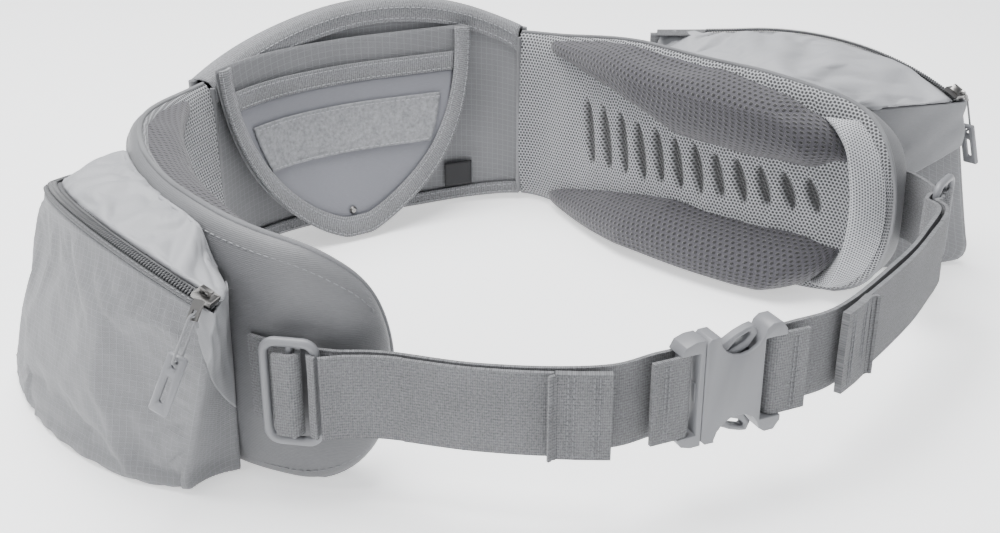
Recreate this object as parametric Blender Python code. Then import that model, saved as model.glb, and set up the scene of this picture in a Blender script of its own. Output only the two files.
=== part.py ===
"""Padded waist belt with two zipped hip pockets and a side-release buckle.

The belt lies closed on the ground, as a soft ring. Its plan is one smooth path, walked from the
left wing's tip, round the wearer's back, to the right wing's tip. Every sewn piece is placed on
that path by three measures, all in millimetres: s, the distance walked along it; n, how far the
point stands outside it (negative is towards the wearer); and z, the height above the ground.
The origin is on the ground, under the middle of the finished object. +Y is the wearer's back.
"""

import bpy
import bmesh
from math import atan2, cos, pi, radians, sin, sqrt
from mathutils import Matrix, Vector

MM = 0.001
GAP = 0.3

# The plan, before it is centred on the origin.
CENTRE = (-19.66, 93.65)
BELT_PATH = [(-140, -4), (-160, 0), (-178, 14), (-194, 38), (-203, 72), (-203, 118), (-192, 163),
             (-170, 205), (-140, 236), (-105, 255), (-60, 263), (-15, 262), (28, 258), (57, 245),
             (72, 210), (84, 164), (98, 118), (113, 84), (130, 59), (145, 38), (150, 16)]
WING_LENGTH = {"left": 287, "right": 254}

# Layers of the padded belt, from the wearer outwards.
FACE_THICK = 1.2
FOAM_OUT = 9.2
LAYER_GAP = 0.5
SHEET_THICK = 1.2
SHELL_OUT = 13.0

# The pads on a wing's face: where they start and end, how far their backs stand off the mesh,
# how deep their edges are, and how deep each crown is (the upper pad, then the lower one).
PAD_FIRST = 23
PAD_LAST = {side: WING_LENGTH[side] - 22 for side in WING_LENGTH}
PAD_BACK = -0.9
PAD_EDGE = 1.5
PAD_CROWN = {"left": (17, 17), "right": (18, 26)}

# Heights of the padded belt.
SEAM_TOP = 108
WING_TOP = 120
TIP_TOP = 108
TIP_ROUND = 42
TIP_SWELL = {"left": 0.0, "right": 0.75}
SEAM_FOOT = 3
LUMBAR_TOP = 134
LUMBAR_FOOT = 1.5

# Webbing and its hardware.
WEB_HEIGHT = 37
WEB_MID_Z = 53
WEB_THICK = 1.6
WRAP = 3.6
ADJUSTER_SIZE = (26, 3.4, 50)
ADJUSTER_BAR = 3.6
ADJUSTER_PLACE = {"left": (-186, -11), "right": (173, 3)}
ADJUSTER_TURN = {"left": -37, "right": 28}
TAIL_LENGTH = {"left": 96, "right": 134}
TAIL_FOLD = 24
# The band from each adjuster: where it runs, as distances from the wing's tip, and its heading.
ANCHOR_ROUTE = {"left": (52,), "right": (44, 30, 14, 4)}
ANCHOR_LEAVE = {"left": 136, "right": 112}
LEFT_STRAP = [(-150, -31), (-124, -54), (-100, -70), (-76, -80)]
RIGHT_STRAP = [(34, -80), (68, -66), (100, -50), (128, -33), (152, -16)]

# The side-release buckle, in its own frame: x runs towards the socket's strap.
BUCKLE_PLACE = (-23.5, -84)
BUCKLE_TURN = -2
BUCKLE_HALF_HEIGHT = 24.6
BUCKLE_THICK = 11
SOCKET_MOUTH = -14
LEVER_PIVOT = (-13, 11)

# Pockets: each zip runs through three points, given as the distance from the wing's tip, the
# distance out from the wing, and the height.
POCKET_FRONT = {"left": 60, "right": 50}
POCKET_REAR = {"left": 182, "right": 165}
ZIP_POINTS = {"left": ((48, 33, 97), (92, 34, 113), (158, 35, 105)),
              "right": ((13, 47, 101), (66, 58, 124), (122, 36, 126))}
# How far the foot of each pocket swells out and leans rearwards, at its front and its rear.
POCKET_SWELL = {"left": (-2, 26), "right": (19, 10)}
POCKET_LEAN = {"left": (42, 28), "right": (-20, 10)}
FABRIC = 1.5
WALL_OFF = 1.6
TOP_OFF = 3.4                 # room for the top panel to lift beside the wing
# Shares of the way round a pocket's mouth: where the zip's arc starts and ends, and where the
# tape stops.
FRONT_SHARE, REAR_SHARE, TAPE_END = 0.13, 0.84, 0.93
# The slider's place on the zip's arc, and the ways its tab and the cord's loop hang, given as
# shares down, rearwards and off the pocket.
SLIDER_SHARE = 0.03
TAB_HANG = (0.72, 0.0, 0.69)
PULL_HANG = {"left": (0.92, 0.26, 0.3), "right": (0.94, -0.06, 0.34)}
TAB_HOLE = 7.2

# The flap inside the lumbar panel.
FLAP_LEFT = 1
FLAP_RIGHT = 34
FLAP_TOP = 116
FLAP_FOOT = 1.2
FLAP_LEAN = 24


# --- the scene and its materials -------------------------------------------------------------

def clear_scene():
    for old in list(bpy.data.objects):
        bpy.data.objects.remove(old, do_unlink=True)


def material(name, colour, roughness, metallic=0.0):
    """Return the named Principled material, made on first use."""
    made = bpy.data.materials.get(name)
    if made is None:
        made = bpy.data.materials.new(name)
        made.use_nodes = True
        shader = made.node_tree.nodes["Principled BSDF"]
        shader.inputs["Base Color"].default_value = (*colour, 1.0)
        shader.inputs["Roughness"].default_value = roughness
        shader.inputs["Metallic"].default_value = metallic
        made.diffuse_color = (*colour, 1.0)
    return made


RIPSTOP = material("ripstop", (0.33, 0.34, 0.35), 0.75)
COATED = material("coated_fabric", (0.42, 0.44, 0.45), 0.5)
LIGHT_MESH = material("light_mesh", (0.55, 0.57, 0.58), 0.9)
PAD_MESH = material("pad_mesh", (0.16, 0.155, 0.17), 0.9)
FOAM = material("foam", (0.2, 0.2, 0.21), 0.95)
FRAME_SHEET = material("frame_sheet", (0.05, 0.05, 0.055), 0.4)
WEBBING = material("webbing", (0.3, 0.3, 0.31), 0.85)
BINDING = material("binding", (0.29, 0.29, 0.3), 0.85)
LOOP_PILE = material("loop_pile", (0.38, 0.38, 0.38), 0.95)
LABEL = material("label", (0.03, 0.03, 0.032), 0.7)
ZIP_COIL = material("zip_coil", (0.12, 0.12, 0.125), 0.5)
MOULDED = material("moulded_plastic", (0.3, 0.31, 0.32), 0.4)
NICKEL = material("nickel", (0.6, 0.59, 0.57), 0.25, 1.0)
CORD = material("pull_cord", (0.3, 0.31, 0.31), 0.8)


# --- the belt's path ---------------------------------------------------------------------------

def smooth_line(points, steps=24):
    """Return a Catmull-Rom line through the points, as many short steps."""
    ends = [2 * points[0] - points[1], *points, 2 * points[-1] - points[-2]]
    line = []
    for before, a, b, after in zip(ends, ends[1:], ends[2:], ends[3:]):
        for i in range(steps):
            t = i / steps
            line.append(0.5 * (2 * a + (b - before) * t
                               + (2 * before - 5 * a + 4 * b - after) * t ** 2
                               + (3 * a - before - 3 * b + after) * t ** 3))
    return [*line, points[-1]]


class Path:
    """A smooth plan line that is read by the distance walked along it."""

    def __init__(self, points):
        self.line = smooth_line([Vector(p) - Vector(CENTRE) for p in points])
        self.walked = [0.0]
        for a, b in zip(self.line, self.line[1:]):
            self.walked.append(self.walked[-1] + (b - a).length)
        self.length = self.walked[-1]

    def on_line(self, s):
        if s <= 0:
            return self.line[0] + (self.line[1] - self.line[0]).normalized() * s
        for i in range(1, len(self.walked)):
            if s <= self.walked[i]:
                share = (s - self.walked[i - 1]) / (self.walked[i] - self.walked[i - 1])
                return self.line[i - 1].lerp(self.line[i], share)
        return self.line[-1] + (self.line[-1] - self.line[-2]).normalized() * (s - self.length)

    def outward(self, s):
        """Return the unit normal on the left of the walk."""
        along = (self.on_line(s + 3) - self.on_line(s - 3)).normalized()
        return Vector((-along.y, along.x))

    def at(self, s, n, z):
        plan = self.on_line(s) + self.outward(s) * n
        return Vector((plan.x, plan.y, z))


BELT = Path(BELT_PATH)
SEAM = {"left": WING_LENGTH["left"], "right": BELT.length - WING_LENGTH["right"]}


def wing_s(side, t):
    """Turn a distance from a wing's tip into a distance along the belt."""
    return t if side == "left" else BELT.length - t


def blend(a, b, share):
    return a + (b - a) * share


def ease(x):
    """Return a smooth step from 0 to 1 for x from 0 to 1."""
    x = min(max(x, 0.0), 1.0)
    return x * x * (3 - 2 * x)


def wing_heights(side, t, inset=0.0):
    """Return the foot and top of a wing at t from its tip, drawn in by inset."""
    share = t / WING_LENGTH[side]
    top = blend(TIP_TOP, WING_TOP, ease(share / 0.35))
    top = blend(top, SEAM_TOP, ease((share - 0.6) / 0.4))
    foot = blend(0.0, SEAM_FOOT, ease((share - 0.7) / 0.3))
    middle = (top + foot) / 2
    half = (top - foot) / 2 - inset
    if t < TIP_ROUND + inset:
        reach = 1 - max(t - inset, 0.6) / TIP_ROUND
        half *= (1 - reach ** 2.4) ** 0.5
    return middle - half, middle + half


def shell_out(side, t):
    """Return how far the outer shell stands out; a curled tip is fuller there."""
    return SHELL_OUT * (1 + TIP_SWELL[side] * ease(1 - t / 60))


def lumbar_heights(s):
    """Return the foot and top of the lumbar panel, which is tallest in its middle."""
    share = (s - SEAM["left"]) / (SEAM["right"] - SEAM["left"])
    rise = sin(pi * share ** 1.25) ** 0.85 if 0 < share < 1 else 0
    return blend(SEAM_FOOT, LUMBAR_FOOT, rise), blend(SEAM_TOP + 1, LUMBAR_TOP, rise)


# --- mesh builders -----------------------------------------------------------------------------

def add_object(name, mesh_data, paint, origin=(0, 0, 0)):
    """Make an object from a bmesh in millimetres, with its origin at a point in millimetres."""
    bmesh.ops.translate(mesh_data, vec=-Vector(origin), verts=mesh_data.verts)
    bmesh.ops.scale(mesh_data, vec=(MM, MM, MM), verts=mesh_data.verts)
    mesh = bpy.data.meshes.new(name)
    mesh_data.to_mesh(mesh)
    mesh_data.free()
    mesh.materials.append(paint)
    made = bpy.data.objects.new(name, mesh)
    made.location = Vector(origin) * MM
    bpy.context.scene.collection.objects.link(made)
    return made


def face_outwards(build):
    """Turn a closed shape's faces outwards."""
    bmesh.ops.recalc_face_normals(build, faces=build.faces)
    if build.calc_volume(signed=True) < 0:
        bmesh.ops.reverse_faces(build, faces=build.faces)


def smooth(made, angle=40):
    made.data.shade_smooth()
    made.data.set_sharp_from_angle(angle=radians(angle))
    return made


def slab(name, inner, outer, paint, origin=(0, 0, 0)):
    """Make the closed solid between two grids of points, which are lists of columns."""
    build = bmesh.new()
    near = [[build.verts.new(p) for p in column] for column in inner]
    far = [[build.verts.new(p) for p in column] for column in outer]
    last, top = len(inner) - 1, len(inner[0]) - 1
    for i in range(last):
        for j in range(top):
            build.faces.new((near[i][j], near[i + 1][j], near[i + 1][j + 1], near[i][j + 1]))
            build.faces.new((far[i][j], far[i][j + 1], far[i + 1][j + 1], far[i + 1][j]))
        for j in (0, top):
            build.faces.new((near[i][j], far[i][j], far[i + 1][j], near[i + 1][j]))
    for j in range(top):
        for i in (0, last):
            build.faces.new((near[i][j], near[i][j + 1], far[i][j + 1], far[i][j]))
    face_outwards(build)
    return smooth(add_object(name, build, paint, origin))


def spaced(first, last, count):
    return [blend(first, last, i / count) for i in range(count + 1)]


def tip_spaced(first, last, count):
    """Return stations from a wing's tip, close together round the tip."""
    return [blend(first, last, (i / count) ** 1.7) for i in range(count + 1)]


def wing_layer(name, side, n_inner, n_outer, paint, first=0.0, last=None, inset=0.0, columns=18, rows=3):
    """Make a flat layer of a wing, with the wing's rounded tip."""
    last = WING_LENGTH[side] - GAP if last is None else last
    inner, outer = [], []
    for t in tip_spaced(first, last, columns):
        foot, top = wing_heights(side, t, inset)
        s = wing_s(side, t)
        levels = spaced(foot, top, rows)
        grown = shell_out(side, t) / SHELL_OUT
        inner.append([BELT.at(s, n_inner * grown, z) for z in levels])
        outer.append([BELT.at(s, n_outer * grown, z) for z in levels])
    return slab(name, inner, outer, paint)


def lumbar_layer(name, n_inner, n_outer, paint, drawn_in=0.0, columns=14, rows=2):
    first, last = SEAM["left"] + GAP, SEAM["right"] - GAP
    inner, outer = [], []
    for s in spaced(first, last, columns):
        foot, top = lumbar_heights(s)
        levels = spaced(foot + drawn_in, top - drawn_in, rows)
        inner.append([BELT.at(s, n_inner, z) for z in levels])
        outer.append([BELT.at(s, n_outer, z) for z in levels])
    return slab(name, inner, outer, paint)


def ribbon(name, line, foot, top, thick, paint, origin=(0, 0, 0)):
    """Make an upright band of webbing whose middle follows a plan line."""
    plan = [Vector(p) for p in line]
    inner, outer = [], []
    for i, point in enumerate(plan):
        before = plan[max(i - 1, 0)]
        after = plan[min(i + 1, len(plan) - 1)]
        along = (after - before).normalized()
        side = Vector((-along.y, along.x)) * thick / 2
        inner.append([Vector((*(point - side), z)) for z in (foot, top)])
        outer.append([Vector((*(point + side), z)) for z in (foot, top)])
    return slab(name, inner, outer, paint, origin)


def prism(name, outline, frame, low, high, paint, origin=(0, 0, 0)):
    """Push an outline, drawn in x and z, from low to high along y, and place it by a matrix."""
    build = bmesh.new()
    ring = [build.verts.new((x, low, z)) for x, z in outline]
    face = build.faces.new(ring)
    pushed = bmesh.ops.extrude_face_region(build, geom=[face])
    moved = [item for item in pushed["geom"] if isinstance(item, bmesh.types.BMVert)]
    bmesh.ops.translate(build, vec=(0, high - low, 0), verts=moved)
    face_outwards(build)
    bmesh.ops.transform(build, matrix=frame, verts=build.verts)
    return add_object(name, build, paint, origin)


def block(name, x, y, z, frame, paint, origin=(0, 0, 0)):
    """Make a box from pairs of limits."""
    outline = [(x[0], z[0]), (x[1], z[0]), (x[1], z[1]), (x[0], z[1])]
    return prism(name, outline, frame, y[0], y[1], paint, origin)


def soften(made, width, segments=2):
    bevel = made.modifiers.new("softened_edges", "BEVEL")
    bevel.width = width * MM
    bevel.segments = segments
    bevel.limit_method = "ANGLE"
    bevel.angle_limit = radians(40)
    return made


def cut(made, cutter):
    """Cut one shape out of another and keep the result in the mesh."""
    tool = made.modifiers.new("cut", "BOOLEAN")
    tool.operation = "DIFFERENCE"
    tool.solver = "EXACT"
    tool.object = cutter
    apply_all(made)
    bpy.data.objects.remove(cutter, do_unlink=True)
    return made


def join_shape(made, other):
    """Fuse another shape into this one, as one body."""
    tool = made.modifiers.new("fuse", "BOOLEAN")
    tool.operation = "UNION"
    tool.solver = "EXACT"
    tool.object = other
    apply_all(made)
    bpy.data.objects.remove(other, do_unlink=True)
    return made


def apply_all(made):
    """Replace an object's mesh with the one its modifiers make."""
    seen = bpy.context.evaluated_depsgraph_get()
    seen.update()
    finished = bpy.data.meshes.new_from_object(made.evaluated_get(seen))
    made.modifiers.clear()
    made.data = finished


def plan_frame(place, turn, z):
    """Return a frame at a plan point, turned about the vertical."""
    centre = Vector(place) - Vector(CENTRE)
    return Matrix.Translation((centre.x, centre.y, z)) @ Matrix.Rotation(radians(turn), 4, "Z")


# --- the lumbar panel --------------------------------------------------------------------------

def binding(name, edge, reach_inside, reach_outside, paint):
    """Fold a tape over the lumbar panel's top (edge 1) or foot (edge -1)."""
    n_in, n_out = -GAP, SHELL_OUT + GAP
    tape = 0.9
    inner, outer = [], []
    for s in spaced(SEAM["left"] + 2 * GAP, SEAM["right"] - 2 * GAP, 14):
        foot, top = lumbar_heights(s)
        rim = top + GAP if edge > 0 else foot - GAP
        inside = [(n_in, rim - edge * reach_inside), (n_in, rim), (n_out, rim),
                  (n_out, rim - edge * reach_outside)]
        outside = [(n_in - tape, rim - edge * reach_inside), (n_in - tape, rim + edge * tape),
                   (n_out + tape, rim + edge * tape), (n_out + tape, rim - edge * reach_outside)]
        inner.append([BELT.at(s, n, z) for n, z in inside])
        outer.append([BELT.at(s, n, z) for n, z in outside])
    return slab(name, inner, outer, paint)


def make_lumbar():
    edge = 1.6
    lumbar_layer("lumbar_inner_panel", 0, FACE_THICK, RIPSTOP, edge)
    lumbar_layer("lumbar_foam", FACE_THICK + LAYER_GAP, FOAM_OUT, FOAM, edge)
    sheet_in = FOAM_OUT + LAYER_GAP
    sheet_out = sheet_in + SHEET_THICK
    lumbar_layer("lumbar_frame_sheet", sheet_in, sheet_out, FRAME_SHEET, 4)
    lumbar_layer("lumbar_outer_shell", sheet_out + LAYER_GAP, SHELL_OUT, RIPSTOP, edge)
    binding("lumbar_top_binding", 1, 11, 9, BINDING)
    binding("lumbar_bottom_binding", -1, 9, 8, BINDING)
    label_s = SEAM["right"] - 40
    inner = [[BELT.at(label_s + x, -1.1, z) for z in (13, 27)] for x in (-9, 0, 9)]
    outer = [[BELT.at(label_s + x, -GAP, z) for z in (13, 27)] for x in (-9, 0, 9)]
    slab("care_label", inner, outer, LABEL)


def flap_half_width(drop):
    """Return the half width of the flap, as a share, where drop runs from 0 at its top to 1."""
    return (1 - min(drop, 0.985) ** 2.4) ** 0.85


def flap_point(s, n, drop):
    """Return a point of the flap, which hangs free and leans towards the wearer."""
    return BELT.at(s, n - FLAP_LEAN * max(drop, 0.0) ** 1.5, blend(FLAP_TOP, FLAP_FOOT, drop))


def flap_sheet(name, n_inner, n_outer, paint, drop_first=0.0, drop_last=0.985, keep=1.0, rows=8):
    """Make one layer of the flap between two drops, with its width kept to a share."""
    first, last = SEAM["left"] + FLAP_LEFT, SEAM["right"] - FLAP_RIGHT
    middle, half = (first + last) / 2, (last - first) / 2
    inner, outer = [], []
    for across in spaced(-1, 1, 10):
        column_in, column_out = [], []
        for drop in spaced(drop_last, drop_first, rows):
            s = middle + across * half * keep * flap_half_width(drop)
            column_in.append(flap_point(s, n_inner, drop))
            column_out.append(flap_point(s, n_outer, drop))
        inner.append(column_in)
        outer.append(column_out)
    return slab(name, inner, outer, paint, FLAP_AXIS_POINT)


def flap_edge(name, n_inner, n_outer, width, paint):
    """Make the tape that binds the flap's two sides and its tip, as one strip."""
    first, last = SEAM["left"] + FLAP_LEFT, SEAM["right"] - FLAP_RIGHT
    middle, half = (first + last) / 2, (last - first) / 2
    drops = [0.985 * (1 - (1 - i / 12) ** 1.6) for i in range(13)]
    sides = [(-1, d) for d in drops] + [(1, d) for d in reversed(drops)]
    share = 1 - width / half
    inner, outer = [], []
    for side, drop in sides:
        across = side * half * flap_half_width(drop)
        inset_drop = blend(0.0, drop, share)
        corners = ((middle + across, drop), (middle + across * share, inset_drop))
        inner.append([flap_point(s, n_inner, d) for s, d in corners])
        outer.append([flap_point(s, n_outer, d) for s, d in corners])
    return slab(name, inner, outer, paint, FLAP_AXIS_POINT)


FLAP_AXIS_POINT = BELT.at(SEAM["left"] + FLAP_LEFT, -2, FLAP_TOP)


def make_flap():
    flap_sheet("flap_backing", -3.0, -2.0, RIPSTOP)
    flap_sheet("flap_pocket_panel", -4.8, -3.8, COATED, 0.24, 0.95, 0.88)
    flap_sheet("flap_mouth_band", -4.8, -3.8, BINDING, 0.1, 0.2, 0.88, 1)
    flap_sheet("flap_loop_patch", -7.4, -5.6, LOOP_PILE, 0.32, 0.57, 0.8, 2)
    flap_edge("flap_binding", -6.6, -5.6, 8, BINDING)


def make_flap_rivet():
    middle = (SEAM["left"] + FLAP_LEFT + SEAM["right"] - FLAP_RIGHT) / 2
    place = flap_point(middle - 2, -5.8, 0.86)
    outward = BELT.outward(middle - 2)
    build = bmesh.new()
    bmesh.ops.create_cone(build, cap_ends=True, segments=16, radius1=2.4, radius2=1.4, depth=1.2)
    turn = Vector((-outward.x, -outward.y, 0)).to_track_quat("Z", "Y").to_matrix().to_4x4()
    bmesh.ops.transform(build, matrix=turn, verts=build.verts)
    push = Vector((-outward.x, -outward.y, 0)) * 0.6
    bmesh.ops.translate(build, vec=place + push, verts=build.verts)
    smooth(add_object("flap_rivet", build, NICKEL, FLAP_AXIS_POINT))


# --- the padded wings --------------------------------------------------------------------------

def pad_shape(side, upper, share):
    """Return the foot and top of a pad at a share of its length, 0 at the wing's tip."""
    t = blend(PAD_FIRST, PAD_LAST[side], share)
    foot, top = wing_heights(side, t)
    taper = min((1 - share) / 0.5, 1.0) ** 0.7
    near_tip = ease(share / 0.12)
    if upper:
        high = top - 1.5
        low = blend(high - 6, blend(72, 76, share), taper)
        return blend((low + high) / 2 - 10, low, near_tip), high
    low = foot + 1.5
    high = blend(low + 6, blend(33, 38, share), taper)
    return low, blend((low + high) / 2 + 10, high, near_tip)


def tip_reach(z):
    """Return how far the rounded tip has drawn back at a height."""
    level = min(abs(z - TIP_TOP / 2) / (TIP_TOP / 2), 0.93)
    return TIP_ROUND * (1 - sqrt(1 - level * level))


def make_pad(side, upper):
    """Make a crowned pad whose back lies flat on the mesh face and whose end meets the rim."""
    inner, outer = [], []
    for i in range(15):
        share = (i / 14) ** 1.1 * 0.995
        foot, top = pad_shape(side, upper, share)
        ends = min(sqrt(max(share, 0.0) / 0.1), sqrt((1 - share) / 0.35), 1.0)
        column_in, column_out = [], []
        for up in spaced(0, 1, 6):
            fuller = up ** 1.25 if upper else up ** 0.55
            crown = (1 - abs(2 * fuller - 1) ** 3.2) ** 0.8 * ends
            z = blend(foot, top, up)
            t = blend(PAD_FIRST + tip_reach(z), PAD_LAST[side], share)
            depth = PAD_EDGE + PAD_CROWN[side][0 if upper else 1] * crown
            column_in.append(BELT.at(wing_s(side, t), PAD_BACK - depth, z))
            column_out.append(BELT.at(wing_s(side, t), PAD_BACK, z))
        inner.append(column_in)
        outer.append(column_out)
    slab(f"{'upper' if upper else 'lower'}_pad_{side}", inner, outer, PAD_MESH)


def make_tip_rim(side):
    """Make the padded roll that closes the wing's rounded end, where the pads stop."""
    inner, outer = [], []
    middle = TIP_TOP / 2
    for angle in spaced(-62, 62, 12):
        z = middle + sin(radians(angle)) * (middle - 3)
        reach = tip_reach(z)
        column_in, column_out = [], []
        for back, depth in ((2, 3), (5, 11), (13, 14), (19, 12)):
            column_in.append(BELT.at(wing_s(side, reach + back), PAD_BACK - depth, z))
            column_out.append(BELT.at(wing_s(side, reach + back), PAD_BACK, z))
        inner.append(column_in)
        outer.append(column_out)
    slab(f"tip_rim_{side}", inner, outer, LIGHT_MESH)


def make_wing(side):
    wing_layer(f"mesh_face_{side}", side, 0, FACE_THICK, LIGHT_MESH, rows=3)
    wing_layer(f"foam_core_{side}", side, FACE_THICK + LAYER_GAP, FOAM_OUT, FOAM, rows=2)
    sheet_in = FOAM_OUT + LAYER_GAP
    sheet_out = sheet_in + SHEET_THICK
    wing_layer(f"stiffener_{side}", side, sheet_in, sheet_out, FRAME_SHEET, inset=8, first=8)
    wing_layer(f"outer_shell_{side}", side, sheet_out + LAYER_GAP, SHELL_OUT, COATED)
    make_pad(side, True)
    make_pad(side, False)
    make_tip_rim(side)


# --- the pockets -------------------------------------------------------------------------------

class Pocket:
    """The shape of one pocket: its zip runs on a true arc, so that the slider can follow it."""

    def __init__(self, side):
        self.side = side
        self.front = POCKET_FRONT[side]
        self.rear = POCKET_REAR[side]
        self.fit_arc(*[self.wing_point(*place) for place in ZIP_POINTS[side]])
        self.lean = 0.0
        along, out, up = self.zip_frame(0.5)
        self.lean = atan2(out.z, up.z)

    def wing_point(self, t, out, z):
        """Return a point that stands out from the wing's outer shell."""
        return BELT.at(wing_s(self.side, t), shell_out(self.side, t) + GAP + out, z)

    def outward(self, t):
        return Vector((*BELT.outward(wing_s(self.side, t)), 0))

    def rearward(self, t):
        """Return the direction along the wing that leads away from its tip."""
        out = self.outward(t)
        return Vector((out.y, -out.x, 0)) if self.side == "left" else Vector((-out.y, out.x, 0))

    def fit_arc(self, a, b, c):
        """Find the centre, axis and sweep of the circle through three points."""
        u, v = b - a, c - a
        normal = u.cross(v)
        to_centre = v.length_squared * normal.cross(u) - u.length_squared * normal.cross(v)
        self.centre = a + to_centre / (2 * normal.length_squared)
        self.axis = normal.normalized()
        if self.axis.z < 0:
            self.axis = -self.axis
        self.start = a - self.centre
        angle = self.start.angle(c - self.centre)
        turned = Matrix.Rotation(angle, 4, self.axis) @ self.start
        self.sweep = angle if (turned + self.centre - c).length < 1 else -angle

    def zip_point(self, share):
        """Return a point on the zip's arc, from its front at 0 to its rear at 1."""
        return self.centre + Matrix.Rotation(self.sweep * share, 4, self.axis) @ self.start

    def zip_frame(self, share):
        """Return the directions at a point of the zip: rearwards along it, outwards, and up.

        The outward direction is level at the zip's middle, and turns with the arc from there.
        """
        along = (self.zip_point(share + 0.01) - self.zip_point(share - 0.01)).normalized()
        out = (self.zip_point(share) - self.centre).normalized()
        up = along.cross(out).normalized()
        if up.z < 0:
            up = -up
        level_out = out * cos(self.lean) - up * sin(self.lean)
        return along, level_out, out * sin(self.lean) + up * cos(self.lean)

    def rim(self, share):
        """Walk the pocket's mouth: the front end, the zip's arc, then the rear end."""
        if share < FRONT_SHARE:
            foot = self.wing_point(self.front + 2, WALL_OFF, ZIP_POINTS[self.side][0][2] - 4)
            return foot.lerp(self.zip_point(0.0), share / FRONT_SHARE)
        if share < REAR_SHARE:
            return self.zip_point((share - FRONT_SHARE) / (REAR_SHARE - FRONT_SHARE))
        x = (share - REAR_SHARE) / (1 - REAR_SHARE)
        start = self.zip_point(1.0)
        corner = start + self.zip_frame(1.0)[0] * 15
        end = self.wing_point(self.rear, WALL_OFF, ZIP_POINTS[self.side][2][2] - 2)
        return start.lerp(corner, x).lerp(corner.lerp(end, x), x)

    def mouth_frame(self, share):
        """Return the ways out of the pocket's mouth and up from it, as the slider stands."""
        arc = (share - FRONT_SHARE) / (REAR_SHARE - FRONT_SHARE)
        along, out, up = self.zip_frame(min(max(arc, 0.0), 1.0))
        if arc > 1:
            hand = 1 if up.cross(along).dot(out) > 0 else -1
            along = (self.rim(share + 0.004) - self.rim(share - 0.004)).normalized()
            out = up.cross(along).normalized() * hand
        return out, up

    def wing_t(self, share):
        """Return the place along the wing that faces a share of the mouth."""
        return blend(self.front + 4, self.rear - 4, share)

    def wall(self, share, down):
        """Return a point of the pocket's wall, where down runs from 0 at its mouth to 1."""
        top = self.rim(share) - Vector((0, 0, 3.0))
        t = self.wing_t(share)
        held = min(share / FRONT_SHARE, (1 - share) / (1 - REAR_SHARE), 1.0)
        drop = held * min(down / 0.95, 1) ** 1.15
        swell = blend(*POCKET_SWELL[self.side], ease(share / 0.8)) * drop
        front_lean, rear_lean = POCKET_LEAN[self.side]
        lean = (front_lean * (1 - share) ** 3 + rear_lean * ease(share)) * drop
        point = top + self.outward(t) * swell + self.rearward(t) * lean
        point.z = blend(top.z, 3.5, down)
        return point


def pocket_shares():
    return [*spaced(0, FRONT_SHARE, 3)[:-1], *spaced(FRONT_SHARE, REAR_SHARE, 12)[:-1],
            *spaced(REAR_SHARE, 1, 5)]


def fabric_sheet(name, grid, thick, paint, outside):
    """Make a sheet through a grid of points and give it its thickness, away from a point."""
    build = bmesh.new()
    columns = [[build.verts.new(p) for p in column] for column in grid]
    for a, b in zip(columns, columns[1:]):
        for j in range(len(a) - 1):
            build.faces.new((a[j], b[j], b[j + 1], a[j + 1]))
    bmesh.ops.recalc_face_normals(build, faces=build.faces)
    build.faces.ensure_lookup_table()
    middle = build.faces[len(build.faces) // 2]
    if middle.normal.dot(middle.calc_center_median() - outside) < 0:
        bmesh.ops.reverse_faces(build, faces=build.faces)
    made = smooth(add_object(name, build, paint))
    wall = made.modifiers.new("fabric", "SOLIDIFY")
    wall.thickness = thick * MM
    wall.offset = 1.0
    return made


def make_pocket_shell(side, pocket):
    """Make the pocket's bag: face, ends and floor, open along the top."""
    grid = []
    for share in pocket_shares():
        column = [pocket.wall(share, down) for down in (0, 0.12, 0.3, 0.5, 0.7, 0.85, 0.95)]
        low = Vector((column[-1].x, column[-1].y, FABRIC + 0.9))
        back = pocket.wing_point(blend(pocket.front + 8, pocket.rear - 8, share), WALL_OFF, low.z)
        grid.append([*column, *[low.lerp(back, across) for across in (0.08, 0.5, 1)]])
    inside = pocket.wing_point((pocket.front + pocket.rear) / 2, 12, 50)
    fabric_sheet(f"pocket_shell_{side}", grid, FABRIC, RIPSTOP, inside)


def make_pocket_top(side, pocket):
    """Make the panel that slopes from the wing's top edge out to the zip."""
    grid = []
    zipped = [share for share in pocket_shares() if FRONT_SHARE + 0.01 < share < TAPE_END]
    for share in [FRONT_SHARE + 0.025, *zipped]:
        rim = pocket.rim(share)
        t = pocket.wing_t(share)
        wing_top = wing_heights(side, t)[1]
        start = pocket.wing_point(t, TOP_OFF, min(wing_top - 6, rim.z + 4))
        end = rim - pocket.mouth_frame(share)[0] * 8.3
        crown = Vector((0, 0, 4 * sin(pi * share)))
        grid.append([start, start.lerp(end, 0.35) + crown, start.lerp(end, 0.7) + crown, end])
    below = pocket.wing_point((pocket.front + pocket.rear) / 2, 12, 40)
    fabric_sheet(f"pocket_top_{side}", grid, FABRIC, COATED, below)


def swept(name, pocket, shares, profile, paint):
    """Sweep a flat profile, given as near and far (outward, up) pairs, along the mouth."""
    inner, outer = [], []
    for share in shares:
        rim = pocket.rim(share)
        out, up = pocket.mouth_frame(share)
        near, far = profile
        inner.append([rim + out * o + up * u for o, u in near])
        outer.append([rim + out * o + up * u for o, u in far])
    return slab(name, inner, outer, paint)


def make_zip(side, pocket):
    zipped = [share for share in pocket_shares() if FRONT_SHARE + 0.01 < share < TAPE_END]
    shares = [*spaced(FRONT_SHARE + 0.012, FRONT_SHARE + 0.045, 3), *zipped]
    swept(f"zip_tape_{side}", pocket, shares,
          ([(-6.4, -1.0), (0.4, -2.0)], [(-6.4, 0.0), (0.4, -1.0)]), BINDING)
    swept(f"zip_coil_{side}", pocket, shares,
          ([(-4.2, 0.1), (-1.4, -0.3)], [(-4.2, 1.5), (-1.4, 1.1)]), ZIP_COIL)


def matrix_from(x, y, z, place):
    """Return the matrix that takes a piece's own axes and origin to where it lies."""
    turn = Matrix((x, y, z)).transposed().to_4x4()
    return Matrix.Translation(place) @ turn


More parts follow.
